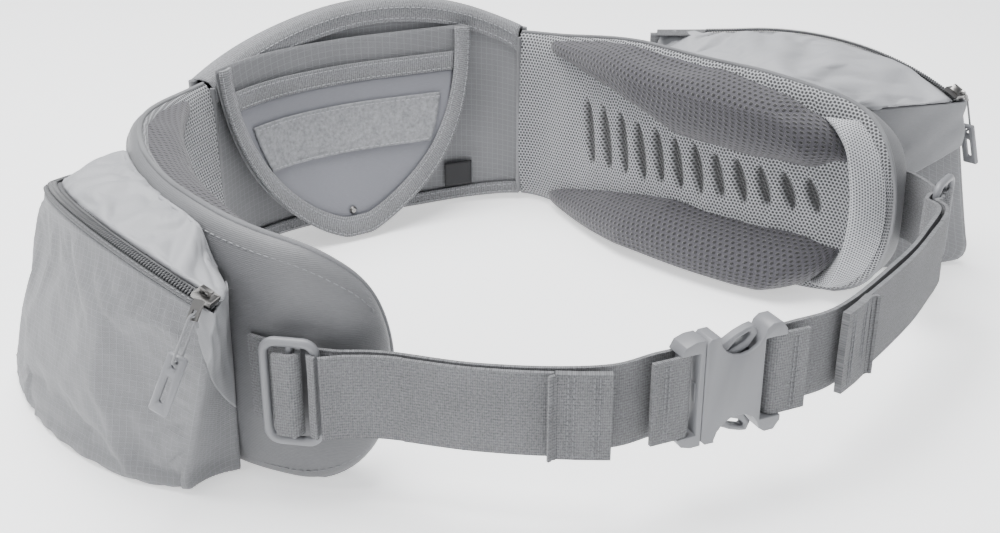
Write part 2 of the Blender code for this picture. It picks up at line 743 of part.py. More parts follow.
def make_slider(side, pocket):
    """Make the slider's body and the bridge that holds its pull."""
    along, out, up = pocket.zip_frame(SLIDER_SHARE)
    frame = matrix_from(along, out, up, pocket.zip_point(SLIDER_SHARE))
    centre = pocket.centre
    body = block(f"zip_slider_{side}", (-4.5, 4.5), (-6.2, 0.6), (2.3, 4.3), frame, NICKEL, centre)
    bridge = block("bridge", (-2.6, 2.6), (-3.8, -1.8), (3.6, 7.2), frame, NICKEL, centre)
    join_shape(body, bridge)
    hole = block("hole", (-1.3, 1.3), (-5, 0), (4.5, 5.9), frame, NICKEL, centre)
    cut(body, hole)


def hanging_frame(pocket, shares, place):
    """Return a frame whose z runs up a hanging piece: x along the zip, y off the pocket."""
    along, out, up = pocket.zip_frame(SLIDER_SHARE)
    down, rear, away = shares
    hang = (Vector((0, 0, -1)) * down + along * rear + out * away).normalized()
    off = (out - hang * out.dot(hang)).normalized()
    return matrix_from(off.cross(-hang).normalized(), off, -hang, place)


def pull_frames(side, pocket):
    """Return the frames of the pull's metal tab and of what hangs from it."""
    along, out, up = pocket.zip_frame(SLIDER_SHARE)
    pivot = pocket.zip_point(SLIDER_SHARE) + out * 0.8 + up * 5.4
    tab = hanging_frame(pocket, TAB_HANG, pivot)
    return tab, hanging_frame(pocket, PULL_HANG[side], tab @ Vector((0, 0, -TAB_HOLE)))


def plate(name, xs, zs, holes, thick, frame, paint, origin):
    """Make a flat plate from cells between the x and z stations, leaving out the holes."""
    build = bmesh.new()
    corner = [[build.verts.new((x, -thick / 2, z)) for z in zs] for x in xs]
    for i in range(len(xs) - 1):
        for j in range(len(zs) - 1):
            if (i, j) not in holes:
                build.faces.new((corner[i][j], corner[i + 1][j], corner[i + 1][j + 1], corner[i][j + 1]))
    loose = [v for v in build.verts if not v.link_faces]
    bmesh.ops.delete(build, geom=loose, context="VERTS")
    pushed = bmesh.ops.extrude_face_region(build, geom=list(build.faces))
    moved = [item for item in pushed["geom"] if isinstance(item, bmesh.types.BMVert)]
    bmesh.ops.translate(build, vec=(0, thick, 0), verts=moved)
    bmesh.ops.transform(build, matrix=frame, verts=build.verts)
    face_outwards(build)
    return add_object(name, build, paint, origin)


def make_pull(side, pocket):
    """Make the pull: a metal tab, a loop of cord through it, and a moulded grip."""
    tab_frame, frame = pull_frames(side, pocket)
    pivot = tab_frame.translation.copy()
    plate(f"pull_tab_{side}", [-2.4, -1.0, 1.0, 2.4],
          [-TAB_HOLE - 2.6, -TAB_HOLE - 1.5, -TAB_HOLE + 1.7, -1.2], {(1, 1)}, 1.0,
          tab_frame, NICKEL, pivot)
    low, high = -20.0, -1.4
    loop = []
    for i in range(16):
        angle = 2 * pi * (i + 0.5) / 16
        middle = high if sin(angle) > 0 else low
        loop.append(frame @ Vector((0, 3.0 * cos(angle), middle + 1.4 * sin(angle))) - pivot)
    curve = bpy.data.curves.new(f"pull_cord_{side}", "CURVE")
    curve.dimensions = "3D"
    curve.bevel_depth = 0.6 * MM
    curve.bevel_resolution = 1
    line = curve.splines.new("POLY")
    line.points.add(len(loop) - 1)
    for point, place in zip(line.points, loop):
        point.co = (*(place * MM), 1)
    line.use_cyclic_u = True
    curve.materials.append(CORD)
    made = bpy.data.objects.new(f"pull_cord_{side}", curve)
    made.location = pivot * MM
    bpy.context.scene.collection.objects.link(made)
    grip = plate(f"pull_grip_{side}", [-4.4, -1.2, 1.2, 4.4],
                 [-43.0, -38.5, -27.0, -23.6, -20.0, -17.6], {(1, 1), (1, 3)}, 2.8,
                 frame, MOULDED, pivot)
    soften(grip, 0.8, 1)


# --- webbing and buckle ------------------------------------------------------------------------

def hook(centre, away, radius, first=90, last=-90):
    """Return the arc of webbing round a bar, from one side, past the far side, to the other."""
    left = Vector((-away.y, away.x))
    arc = []
    for angle in spaced(first, last, 6):
        arc.append(centre - away * radius * cos(radians(angle)) + left * radius * sin(radians(angle)))
    return arc


def offset_line(line, distance):
    """Return a plan line moved sideways; a positive distance is to the left of its walk."""
    moved = []
    for i, point in enumerate(line):
        along = (line[min(i + 1, len(line) - 1)] - line[max(i - 1, 0)]).normalized()
        moved.append(point + Vector((-along.y, along.x)) * distance)
    return moved


def turned(degrees):
    return Vector((cos(radians(degrees)), sin(radians(degrees))))


def centred(point):
    return Vector(point) - Vector(CENTRE)


BUCKLE_AXIS = turned(BUCKLE_TURN)
BUCKLE_CENTRE = centred(BUCKLE_PLACE)
PLUG_BAR = BUCKLE_CENTRE - BUCKLE_AXIS * 23.0
SOCKET_BAR = BUCKLE_CENTRE + BUCKLE_AXIS * 22.5


def adjuster_bar(side):
    """Return where the strap's bar of an adjuster stands, and the way the strap leaves it."""
    along = turned(ADJUSTER_TURN[side])
    leave = along if side == "left" else -along
    return centred(ADJUSTER_PLACE[side]) + leave * 11.5, leave


def strap_line(side):
    """Return the middle line of a strap, from its adjuster's bar to its buckle bar."""
    bar, leave = adjuster_bar(side)
    if side == "left":
        route = [centred(p) for p in LEFT_STRAP]
        inner, buckle_bar, away = 1, PLUG_BAR, -BUCKLE_AXIS
    else:
        route = [centred(p) for p in reversed(RIGHT_STRAP)]
        inner, buckle_bar, away = -1, SOCKET_BAR, BUCKLE_AXIS
    left = Vector((-leave.y, leave.x)) * inner
    near = bar + leave * 7 + left * (WRAP - 0.6)
    end = buckle_bar + away * 9 + Vector((-BUCKLE_AXIS.y, BUCKLE_AXIS.x)) * WRAP
    middle = smooth_line([near, *route, end], 4)
    start = hook(bar, leave, WRAP, -90 * inner, 90 * inner)
    finish = hook(buckle_bar, away, WRAP, -90 if side == "left" else 90, 90 if side == "left" else -90)
    return start, middle, finish, away


def make_strap(side):
    """Make a strap, its returned tail and the tail's folded end."""
    start, middle, finish, away = strap_line(side)
    inner = 1 if side == "left" else -1
    returned = finish[-1] + away * 15
    foot, top = WEB_MID_Z - WEB_HEIGHT / 2, WEB_MID_Z + WEB_HEIGHT / 2
    pivot = (*(PLUG_BAR if side == "left" else SOCKET_BAR), WEB_MID_Z)
    ribbon(f"strap_{side}", [*start, *middle, *finish, returned], foot, top, WEB_THICK, WEBBING, pivot)
    tail_line = offset_line(middle, -inner * (WRAP + 0.4))
    begin = start[0] + (middle[0] - start[-1]).normalized() * 1.4
    length = 0.0
    tail = [begin]
    for point in tail_line[1:]:
        length += (point - tail[-1]).length
        if length > TAIL_LENGTH[side]:
            break
        tail.append(point)
    ribbon(f"tail_{side}", tail, foot, top, WEB_THICK, WEBBING)
    along = (tail[-1] - tail[-2]).normalized()
    head = tail[-1] + along * GAP
    outer = Vector((along.y, -along.x)) * inner * 0.9
    fold = [head + outer, head + outer + along * TAIL_FOLD]
    ribbon(f"tail_end_{side}", fold, foot - 0.8, top + 0.8, 3.6, WEBBING,
           (*head, WEB_MID_Z))


def make_adjuster(side):
    """Make the flat ladder frame with a middle bar that the webbing turns round."""
    width, thick, height = ADJUSTER_SIZE
    frame = plan_frame(ADJUSTER_PLACE[side], ADJUSTER_TURN[side], WEB_MID_Z)
    rail = 3.0
    xs = [-width / 2, -width / 2 + rail, -ADJUSTER_BAR / 2, ADJUSTER_BAR / 2, width / 2 - rail, width / 2]
    zs = [-height / 2, -WEB_HEIGHT / 2 - 1, WEB_HEIGHT / 2 + 1, height / 2]
    made = plate(f"adjuster_{side}", xs, zs, {(1, 1), (3, 1)}, thick, frame, MOULDED, frame.translation)
    soften(made, 1.1)


def make_anchor(side):
    """Make the band that ties an adjuster to the wing, out of the pocket's front seam."""
    route = []
    for t in ANCHOR_ROUTE[side]:
        route.append(BELT.at(wing_s(side, t), shell_out(side, t) + GAP + 2.2, 0).xy)
    away = turned(ANCHOR_LEAVE[side])
    loop = hook(centred(ADJUSTER_PLACE[side]), away, WRAP)
    out = BELT.outward(wing_s(side, ANCHOR_ROUTE[side][-1]))
    if loop[0].dot(out) > loop[-1].dot(out):
        loop.reverse()
    foot, top = WEB_MID_Z - WEB_HEIGHT / 2, WEB_MID_Z + WEB_HEIGHT / 2
    line = [*route, *loop, loop[-1] + away * 6]
    ribbon(f"anchor_webbing_{side}", line, foot, top, WEB_THICK - 0.2, WEBBING)


def buckle_frame():
    return plan_frame(BUCKLE_PLACE, BUCKLE_TURN, WEB_MID_Z)


def mirrored(outline):
    """Return an outline and its mirror image below, as one closed loop."""
    return [*outline, *[(x, -z) for x, z in reversed(outline)]]


def arc_points(cx, cz, radius, first, last, count):
    return [(cx + radius * cos(radians(angle)), cz + radius * sin(radians(angle)))
            for angle in spaced(first, last, count)]


def leave_bar(body, frame, bar_x, space):
    """Cut the strap's space out of a buckle half, round the bar that is left at bar_x."""
    reach, half = WEB_HEIGHT / 2 + 0.6, 1.6
    spaces = [((space[0], bar_x - half), (-20, 20)), ((bar_x + half, space[1]), (-20, 20)),
              ((bar_x - 2, bar_x + 2), (half, 20)), ((bar_x - 2, bar_x + 2), (-20, -half))]
    for x, y in spaces:
        cut(body, block("strap_space", x, y, (-reach, reach), frame, MOULDED))


def make_socket():
    """Make the buckle's socket: two waisted plates joined at the mouth and at the strap's bar."""
    frame = buckle_frame()
    half = BUCKLE_HALF_HEIGHT
    outline = mirrored([(SOCKET_MOUTH, half - 2), (SOCKET_MOUTH + 2, half), (-7.5, half),
                        *arc_points(3.5, half + 1, 11.5, 190, 350, 8), (17.5, half + 1),
                        (22, half + 1), (25, half - 3)])
    deep = BUCKLE_THICK / 2
    body = prism("buckle_socket", outline, frame, -deep, deep, MOULDED, frame.translation)
    cut(body, block("tongue_space", (SOCKET_MOUTH - 1, 12), (-3.1, 3.1), (-21.5, 21.5), frame, MOULDED))
    leave_bar(body, frame, 22.5, (14.5, 30))
    soften(body, 0.9)


def make_plug():
    """Make the buckle's plug: the base with the strap's bar, and the guiding tongue."""
    frame = buckle_frame()
    half = BUCKLE_HALF_HEIGHT
    outline = mirrored([(SOCKET_MOUTH - GAP, half), (-19, half), (-23.5, half - 1.5), (-25.5, half - 5)])
    deep = BUCKLE_THICK / 2 - 0.4
    body = prism("buckle_plug", outline, frame, -deep, deep, MOULDED, (*PLUG_BAR, WEB_MID_Z))
    leave_bar(body, frame, -23.0, (-30, -16.5))
    join_shape(body, block("tongue", (-17, 8), (-2.6, 2.6), (-4.5, 4.5), frame, MOULDED))
    soften(body, 0.8)


def make_lever(upper):
    """Make one spring lever, with the leaf-shaped loop that is squeezed to open the buckle."""
    frame = buckle_frame()
    sign = 1 if upper else -1
    pivot = frame @ Vector((LEVER_PIVOT[0], 0, sign * LEVER_PIVOT[1]))
    name = "buckle_lever_upper" if upper else "buckle_lever_lower"
    rim = [(-13.4, 9), (-2, 11), (8, 15.5), (12.4, 21), (10.6, 25), (7, 24.3), (2, 22.5), (-4.5, 19),
           (-7, 14.8), (-13.4, 13)]
    body = prism(name, [(x, sign * z) for x, z in rim], frame, -2.5, 2.5, MOULDED, pivot)
    hole = [(-2.5, 15.2), (6, 18.4), (9.2, 21.2), (8.6, 22.6), (2.4, 20.4)]
    cut(body, prism("hole", [(x, sign * z) for x, z in hole], frame, -6, 6, MOULDED))
    soften(body, 0.6, 1)


# --- build -------------------------------------------------------------------------------------

def build():
    clear_scene()
    make_lumbar()
    make_flap()
    make_flap_rivet()
    for side in ("left", "right"):
        pocket = Pocket(side)
        make_wing(side)
        make_pocket_shell(side, pocket)
        make_pocket_top(side, pocket)
        make_zip(side, pocket)
        make_slider(side, pocket)
        make_pull(side, pocket)
        make_adjuster(side)
        make_anchor(side)
        make_strap(side)
    make_socket()
    make_plug()
    make_lever(True)
    make_lever(False)


build()
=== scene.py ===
# %% [markdown]
# # A padded waist belt with two zipped pockets
# The belt is soft, so most of it is drawn here again as cloth, foam and webbing over the fixed
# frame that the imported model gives. The frame keeps every piece at its true place and size.

# %% Load the frame
import bpy
from bisect import bisect_right
from math import atan2, cos, pi, radians, sin, sqrt
from mathutils import Matrix, Vector


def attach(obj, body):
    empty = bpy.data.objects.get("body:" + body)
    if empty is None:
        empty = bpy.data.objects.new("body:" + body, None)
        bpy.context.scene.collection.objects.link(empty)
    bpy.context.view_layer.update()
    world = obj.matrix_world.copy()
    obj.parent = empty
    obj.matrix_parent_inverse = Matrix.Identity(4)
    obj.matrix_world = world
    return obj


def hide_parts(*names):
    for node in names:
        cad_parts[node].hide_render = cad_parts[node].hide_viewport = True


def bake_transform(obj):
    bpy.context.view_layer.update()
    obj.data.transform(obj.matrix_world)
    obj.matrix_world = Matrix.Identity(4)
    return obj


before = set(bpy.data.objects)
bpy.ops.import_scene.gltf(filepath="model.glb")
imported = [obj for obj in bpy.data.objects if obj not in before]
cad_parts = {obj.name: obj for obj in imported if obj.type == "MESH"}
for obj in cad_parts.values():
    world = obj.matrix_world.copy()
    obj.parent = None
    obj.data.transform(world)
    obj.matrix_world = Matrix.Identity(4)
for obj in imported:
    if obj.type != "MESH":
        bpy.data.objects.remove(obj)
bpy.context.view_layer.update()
MM = 0.001

# %% [markdown]
# ## Camera, light and floor
# The belt is seen from above its front left, with a normal lens. The light is a large soft panel
# over the belt, one from the left, a weak one from the right and a pale world, so that shadows are faint.

# %% The camera
camera_data = bpy.data.cameras.new("view")
camera_data.lens = 50
camera_data.sensor_width = 36
camera_data.clip_start = 0.01
camera = bpy.data.objects.new("view", camera_data)
camera.location = (-0.31351, -0.58007, 0.338)
camera.rotation_euler = (radians(65), 0, radians(-27))
bpy.context.scene.collection.objects.link(camera)
bpy.context.scene.camera = camera
print("camera at", tuple(camera.location))

# %% The lights and the world


def soft_light(name, place, aim, width, power):
    """Add a square area light that looks at a point."""
    data = bpy.data.lights.new(name, "AREA")
    data.shape = "SQUARE"
    data.size = width
    data.energy = power
    lamp = bpy.data.objects.new(name, data)
    lamp.location = place
    lamp.rotation_euler = (Vector(place) - Vector(aim)).to_track_quat("Z", "Y").to_euler()
    bpy.context.scene.collection.objects.link(lamp)
    return lamp


soft_light("overhead", (-0.25, 0.25, 1.5), (0, 0, 0.05), 1.3, 62)
soft_light("from_the_left", (-1.3, -0.5, 0.8), (0, -0.05, 0.05), 0.8, 9)
soft_light("from_the_right", (1.2, -0.8, 0.7), (0, 0, 0.05), 0.9, 3)
world = bpy.data.worlds.new("pale_room")
bpy.context.scene.world = world
world.use_nodes = True
world.node_tree.nodes["Background"].inputs["Color"].default_value = (0.93, 0.96, 1.0, 1)
world.node_tree.nodes["Background"].inputs["Strength"].default_value = 0.5

# %% [markdown]
# ## Materials
# Each fabric is a small node tree. Woven and knitted patterns read the piece's own UV map, which
# every cloth piece below gets in millimetres, so a thread is as wide on the belt as on the wing.

# %% Helpers for node trees


class Finish:
    """A Principled material that is built up one node at a time."""

    def __init__(self, name, roughness=0.8, metallic=0.0, sheen=0.0):
        self.made = bpy.data.materials.new(name)
        self.made.use_nodes = True
        self.tree = self.made.node_tree
        self.shader = self.tree.nodes["Principled BSDF"]
        self.shader.inputs["Roughness"].default_value = roughness
        self.shader.inputs["Metallic"].default_value = metallic
        self.shader.inputs["Sheen Weight"].default_value = sheen
        self.shader.inputs["Sheen Roughness"].default_value = 0.6
        where = self.tree.nodes.new("ShaderNodeTexCoord")
        self.object_place = where.outputs["Object"]
        self.uv_place = where.outputs["UV"]

    def link(self, value, socket):
        if isinstance(value, (int, float)):
            socket.default_value = value
        elif isinstance(value, (tuple, list)):
            socket.default_value = value
        else:
            self.tree.links.new(value, socket)

    def maths(self, operation, a, b=0.0, c=0.0, clamp=False):
        node = self.tree.nodes.new("ShaderNodeMath")
        node.operation = operation
        node.use_clamp = clamp
        for value, socket in zip((a, b, c), node.inputs):
            self.link(value, socket)
        return node.outputs[0]

    def split(self, vector):
        node = self.tree.nodes.new("ShaderNodeSeparateXYZ")
        self.link(vector, node.inputs[0])
        return node.outputs[0], node.outputs[1], node.outputs[2]

    def noise(self, place, scale, detail=3.0, rough=0.55):
        node = self.tree.nodes.new("ShaderNodeTexNoise")
        self.link(place, node.inputs["Vector"])
        node.inputs["Scale"].default_value = scale
        node.inputs["Detail"].default_value = detail
        node.inputs["Roughness"].default_value = rough
        return node.outputs["Fac"]

    def wave(self, along, pitch, phase=0.0):
        """A smooth wave from 0 to 1 with the given pitch."""
        turned = self.maths("MULTIPLY_ADD", along, 2 * pi / pitch, phase)
        return self.maths("MULTIPLY_ADD", self.maths("SINE", turned), 0.5, 0.5)

    def stretch(self, place, by):
        node = self.tree.nodes.new("ShaderNodeMapping")
        self.link(place, node.inputs["Vector"])
        node.inputs["Scale"].default_value = by
        return node.outputs[0]

    def mix(self, share, low, high):
        """Blend two colours by a share."""
        node = self.tree.nodes.new("ShaderNodeMix")
        node.data_type = "RGBA"
        self.link(share, node.inputs["Factor"])
        self.link(low, node.inputs["A"])
        self.link(high, node.inputs["B"])
        return node.outputs["Result"]

    def colour(self, value):
        self.link(value, self.shader.inputs["Base Color"])

    def bump(self, height, depth, strength=1.0, after=None):
        """Raise the surface by height times depth, which is in metres."""
        node = self.tree.nodes.new("ShaderNodeBump")
        node.inputs["Strength"].default_value = strength
        node.inputs["Distance"].default_value = depth
        self.link(height, node.inputs["Height"])
        if after is not None:
            self.link(after, node.inputs["Normal"])
        self.link(node.outputs[0], self.shader.inputs["Normal"])
        return node.outputs[0]


def grey(value, cool=1.05):
    """A neutral grey, very slightly blue."""
    return (value * 0.985, value, value * cool, 1.0)


print("finish helper ready")

# %% [markdown]
# ### Woven cloths
# Ripstop is a fine plain weave with a thicker thread every few millimetres, which shows as a
# grid. The coated cloth has only a fine grain that runs along the belt. Both vary a little in
# tone, because cloth is never one flat colour.

# %% Ripstop and coated cloth


def plain_weave(finish, u, v, pitch):
    """Return a height from 0 to 1 of threads that pass over and under each other."""
    across = finish.wave(u, pitch * 2)
    along = finish.wave(v, pitch * 2)
    over = finish.maths("SUBTRACT", across, 0.5)
    crossed = finish.maths("MULTIPLY", over, finish.maths("SUBTRACT", along, 0.5))
    return finish.maths("MULTIPLY_ADD", crossed, 2.0, 0.5)


def thick_thread(finish, along, pitch, width):
    """Return 1 on a thin line that repeats with the pitch and 0 between."""
    wave = finish.wave(along, pitch)
    return finish.maths("SMOOTH_MIN", finish.maths("MAXIMUM", finish.maths(
        "DIVIDE", finish.maths("SUBTRACT", wave, 1 - width), width), 0.0), 1.0, 0.1)


def ripstop(name, dark, light, pitch=5.0):
    made = Finish(name, roughness=0.72, sheen=0.15)
    u, v, _ = made.split(made.uv_place)
    weave = plain_weave(made, u, v, 0.55)
    grid = made.maths("MAXIMUM", thick_thread(made, u, pitch, 0.06), thick_thread(made, v, pitch, 0.06))
    tone = made.noise(made.object_place, 26, 4, 0.6)
    speckle = made.noise(made.stretch(made.uv_place, (1.2, 2.6, 1)), 1.0, 2)
    share = made.maths("MULTIPLY_ADD", speckle, 0.5, made.maths("MULTIPLY", tone, 0.45))
    share = made.maths("MULTIPLY_ADD", grid, 0.3, share, clamp=True)
    share = made.maths("MULTIPLY_ADD", weave, 0.14, share, clamp=True)
    made.colour(made.mix(share, dark, light))
    creases = made.noise(made.object_place, 42, 3, 0.5)
    first = made.bump(creases, 0.004, 0.5)
    height = made.maths("MULTIPLY_ADD", grid, 0.55, made.maths("MULTIPLY", weave, 0.45))
    made.bump(height, 0.00022, 0.9, first)
    return made.made


def coated(name, dark, light, grain=1.0):
    made = Finish(name, roughness=0.5, sheen=0.1)
    grained = made.noise(made.stretch(made.uv_place, (0.35, 2.6, 1)), 1.0, 3, 0.65)
    tone = made.noise(made.object_place, 18, 3)
    share = made.maths("MULTIPLY_ADD", grained, 0.6, made.maths("MULTIPLY", tone, 0.4), clamp=True)
    made.colour(made.mix(share, dark, light))
    _, v, _ = made.split(made.uv_place)
    ribs = made.wave(v, 0.8)
    first = made.bump(made.noise(made.object_place, 34, 3), 0.002, 0.3)
    made.bump(made.maths("MULTIPLY_ADD", ribs, 0.5, grained), 0.00018, 0.7 * grain, first)
    return made.made


POCKET_CLOTH = ripstop("pocket_ripstop", grey(0.075), grey(0.225), 2.9)
LUMBAR_CLOTH = ripstop("lumbar_ripstop", grey(0.08), grey(0.22), 3.4)
WING_CLOTH = coated("wing_coated_cloth", grey(0.07), grey(0.19))
TOP_CLOTH = coated("pocket_top_cloth", grey(0.25), grey(0.37), 0.6)
# The gusset is the top panel's light cloth folded down; this darker copy of it is painted shade on the fold.
GUSSET_PAINTED_SHADE_CLOTH = coated("pocket_gusset_cloth_painted_shade", grey(0.16), grey(0.27), 0.6)
FLAP_CLOTH = coated("flap_coated_cloth", grey(0.15, 1.12), grey(0.23, 1.12), 0.5)
print("woven cloths ready")

# %% [markdown]
# ### Meshes
# The light face is an open knitted mesh: small holes in staggered rows. The pads wear a closed
# dark mesh with rows of dents. Both are staggered dot patterns, with a round falloff at each dot.

# %% Dot patterns and the two meshes


def staggered_dots(finish, pitch, radius):
    """Return 1 in the middle of each dot and 0 between the dots, in staggered rows."""
    u, v, _ = finish.split(finish.uv_place)
    row = finish.maths("DIVIDE", v, pitch * 0.866)
    shift = finish.maths("MULTIPLY", finish.maths("MODULO", finish.maths("FLOOR", row), 2.0), 0.5)
    shift = finish.maths("ABSOLUTE", shift)
    column = finish.maths("ADD", finish.maths("DIVIDE", u, pitch), shift)
    x = finish.maths("SUBTRACT", finish.maths("FRACT", column), 0.5)
    y = finish.maths("MULTIPLY", finish.maths("SUBTRACT", finish.maths("FRACT", row), 0.5), 0.866)
    square = finish.maths("ADD", finish.maths("MULTIPLY", x, x), finish.maths("MULTIPLY", y, y))
    far = finish.maths("SQRT", square)
    return finish.maths("SUBTRACT", 1.0, finish.maths("DIVIDE", far, radius), clamp=True)


def open_mesh(name, thread, hole, pitch=2.1, radius=0.46):
    made = Finish(name, roughness=0.85, sheen=0.2)
    dots = staggered_dots(made, pitch, radius)
    open_share = made.maths("MULTIPLY", dots, 2.4, clamp=True)
    tone = made.noise(made.object_place, 30, 3)
    threads = made.mix(tone, thread, tuple(c * 1.25 for c in thread[:3]) + (1.0,))
    # The 'slot' attribute mixes the colour towards near black: painted shade inside the face's slanted
    # slots.
    shade = made.tree.nodes.new("ShaderNodeAttribute")
    shade.attribute_name = "slot"
    colour = made.mix(open_share, threads, hole)
    made.colour(made.mix(made.maths("MULTIPLY", shade.outputs["Fac"], 0.93), colour, grey(0.012)))
    made.bump(made.maths("SUBTRACT", 1.0, open_share), 0.0006, 0.9)
    return made.made


def dented_mesh(name, thread, dent, pitch=3.6):
    made = Finish(name, roughness=0.82, sheen=0.25)
    dots = staggered_dots(made, pitch, 0.34)
    dented = made.maths("MULTIPLY", dots, 2.4, clamp=True)
    u, v, _ = made.split(made.uv_place)
    knit = plain_weave(made, u, v, 0.6)
    tone = made.noise(made.object_place, 22, 3)
    share = made.maths("MULTIPLY_ADD", knit, 0.35, made.maths("MULTIPLY", tone, 0.6), clamp=True)
    cloth = made.mix(share, thread, tuple(c * 1.55 for c in thread[:3]) + (1.0,))
    made.colour(made.mix(dented, cloth, dent))
    first = made.bump(made.maths("SUBTRACT", 1.0, dented), 0.0009, 0.9)
    made.bump(knit, 0.0002, 0.6, first)
    return made.made


FACE_MESH = open_mesh("wing_face_mesh", grey(0.36), grey(0.04))
RIM_MESH = open_mesh("tip_rim_mesh", grey(0.44), grey(0.08), 1.7, 0.4)
PAD_MESH = dented_mesh("pad_mesh", (0.034, 0.032, 0.04, 1), (0.003, 0.003, 0.0035, 1))
print("meshes ready")

# %% [markdown]
# ### Webbing, bindings and small trim
# Webbing has ribs along its length, each a row of short slanted picks, and speckled yarn. Binding
# tape is the same idea with ribs so wide that only the picks show. Thread, cord, felt and the
# zip's parts follow.

# %% Narrow fabrics and trim


def webbing(name, dark, light, rib=1.5, pick=0.95, turned=False):
    made = Finish(name, roughness=0.8, sheen=0.15)
    u, v, _ = made.split(made.uv_place)
    if turned:
        u, v = v, u
    ribs = made.wave(v, rib)
    slant = made.maths("MULTIPLY_ADD", made.maths("ABSOLUTE", made.maths("SUBTRACT", ribs, 0.5)), 0.9, u)
    picks = made.wave(slant, pick)
    speckle = made.noise(made.stretch(made.uv_place, (0.9, 1.1, 1)), 1.0, 3, 0.7)
    worn = made.noise(made.object_place, 40, 3)
    share = made.maths("MULTIPLY_ADD", picks, 0.36, made.maths("MULTIPLY", ribs, 0.16))
    share = made.maths("MULTIPLY_ADD", made.maths("SUBTRACT", speckle, 0.5), 1.7, share)
    share = made.maths("MULTIPLY_ADD", worn, 0.35, share, clamp=True)
    made.colour(made.mix(share, dark, light))
    height = made.maths("MULTIPLY_ADD", picks, 0.6, made.maths("MULTIPLY", ribs, 0.5))
    made.bump(height, 0.0004, 0.9)
    return made.made


def plain(name, colour, roughness, depth=0.00015, scale=900, metallic=0.0, spread=0.12, grain=60):
    """A moulded, metal or felted finish: one colour with a fine surface."""
    made = Finish(name, roughness=roughness, metallic=metallic)
    tone = made.noise(made.object_place, grain, 3)
    low = tuple(c * (1 - spread) for c in colour[:3]) + (1.0,)
    high = tuple(c * (1 + spread) for c in colour[:3]) + (1.0,)
    made.colour(made.mix(tone, low, high))
    made.bump(made.noise(made.object_place, scale, 2), depth, 0.5)
    return made.made


WEBBING = webbing("belt_webbing", grey(0.055), grey(0.24), 1.3, 0.9)
BINDING = webbing("binding_tape", grey(0.07), grey(0.32), 30.0, 1.25)
ZIP_TAPE = webbing("zip_tape", grey(0.07), grey(0.16), 0.9, 0.9)
FELT = plain("loop_felt", grey(0.25), 0.95, 0.001, 900, 0.0, 0.6, 480)
THREAD = plain("sewing_thread", grey(0.2), 0.7)
PALE_THREAD = plain("pale_sewing_thread", grey(0.34), 0.7)
COIL = plain("zip_coil_plastic", grey(0.06), 0.38)
MOULDED = plain("moulded_grey_plastic", grey(0.185, 1.06), 0.42, 0.00006, 700, 0.0, 0.06)
NICKEL = plain("dark_nickel", (0.2, 0.195, 0.19, 1), 0.3, 0.00003, 500, 1.0, 0.1)
CORD = webbing("pull_cord_braid", grey(0.12), grey(0.24), 1.0, 0.8)
LABEL = plain("black_label", (0.012, 0.012, 0.014, 1), 0.65)
FLOOR = plain("pale_floor", (0.9, 0.905, 0.91, 1), 0.75, 0.00001, 300, 0.0, 0.0)
floor_shader = FLOOR.node_tree.nodes["Principled BSDF"]
floor_shader.inputs["Emission Color"].default_value = (1, 1, 1, 1)
floor_shader.inputs["Emission Strength"].default_value = 0.8
print("materials:", len(bpy.data.materials))

# %% The floor
bpy.ops.object.select_all(action="DESELECT")
bpy.ops.mesh.primitive_plane_add(size=30, location=(0, 0, -0.0004))
floor = bpy.context.object
floor.name = "floor"
floor.data.materials.append(FLOOR)
print("floor is", tuple(floor.dimensions))

# %% [markdown]
# ## Where cloth goes
# The belt's plan is one smooth line, walked from the left wing's tip round the back to the right
# wing's tip. Three measures place every cloth point: s along the line, n outwards from it and z
# up. The numbers are those that the frame was made with, so the cloth fits it.

# %% The belt's line
CENTRE = Vector((-19.66, 93.65))
BELT_PATH = [(-140, -4), (-160, 0), (-178, 14), (-194, 38), (-203, 72), (-203, 118), (-192, 163),
             (-170, 205), (-140, 236), (-105, 255), (-60, 263), (-15, 262), (28, 258), (57, 245),
             (72, 210), (84, 164), (98, 118), (113, 84), (130, 59), (145, 38), (150, 16)]
WING_LENGTH = {"left": 287, "right": 254}


def smooth_line(points, steps=24):
    """Return a Catmull-Rom line through the points, as many short steps."""
    ends = [2 * points[0] - points[1], *points, 2 * points[-1] - points[-2]]
    line = []
    for before, a, b, after in zip(ends, ends[1:], ends[2:], ends[3:]):
        for i in range(steps):
            t = i / steps
            line.append(0.5 * (2 * a + (b - before) * t
                               + (2 * before - 5 * a + 4 * b - after) * t ** 2
                               + (3 * a - before - 3 * b + after) * t ** 3))
    return [*line, points[-1]]


class Path:
    """A plan line in millimetres that is read by the distance walked along it."""

    def __init__(self, points):
        self.line = smooth_line([Vector(p) - CENTRE for p in points])
        self.walked = [0.0]
        for a, b in zip(self.line, self.line[1:]):
            self.walked.append(self.walked[-1] + (b - a).length)
        self.length = self.walked[-1]

    def on_line(self, s):
        if s <= 0:
            return self.line[0] + (self.line[1] - self.line[0]).normalized() * s
        if s >= self.length:
            return self.line[-1] + (self.line[-1] - self.line[-2]).normalized() * (s - self.length)
        i = bisect_right(self.walked, s)
        share = (s - self.walked[i - 1]) / (self.walked[i] - self.walked[i - 1])
        return self.line[i - 1].lerp(self.line[i], share)

    def outward(self, s):
        along = (self.on_line(s + 3) - self.on_line(s - 3)).normalized()
        return Vector((-along.y, along.x))

    def at(self, s, n, z):
        plan = self.on_line(s) + self.outward(s) * n
        return Vector((plan.x, plan.y, z))


BELT = Path(BELT_PATH)
SEAM = {"left": WING_LENGTH["left"], "right": BELT.length - WING_LENGTH["right"]}


def wing_s(side, t):
    return t if side == "left" else BELT.length - t


def blend(a, b, share):
    return a + (b - a) * share


def ease(x):
    x = min(max(x, 0.0), 1.0)
    return x * x * (3 - 2 * x)


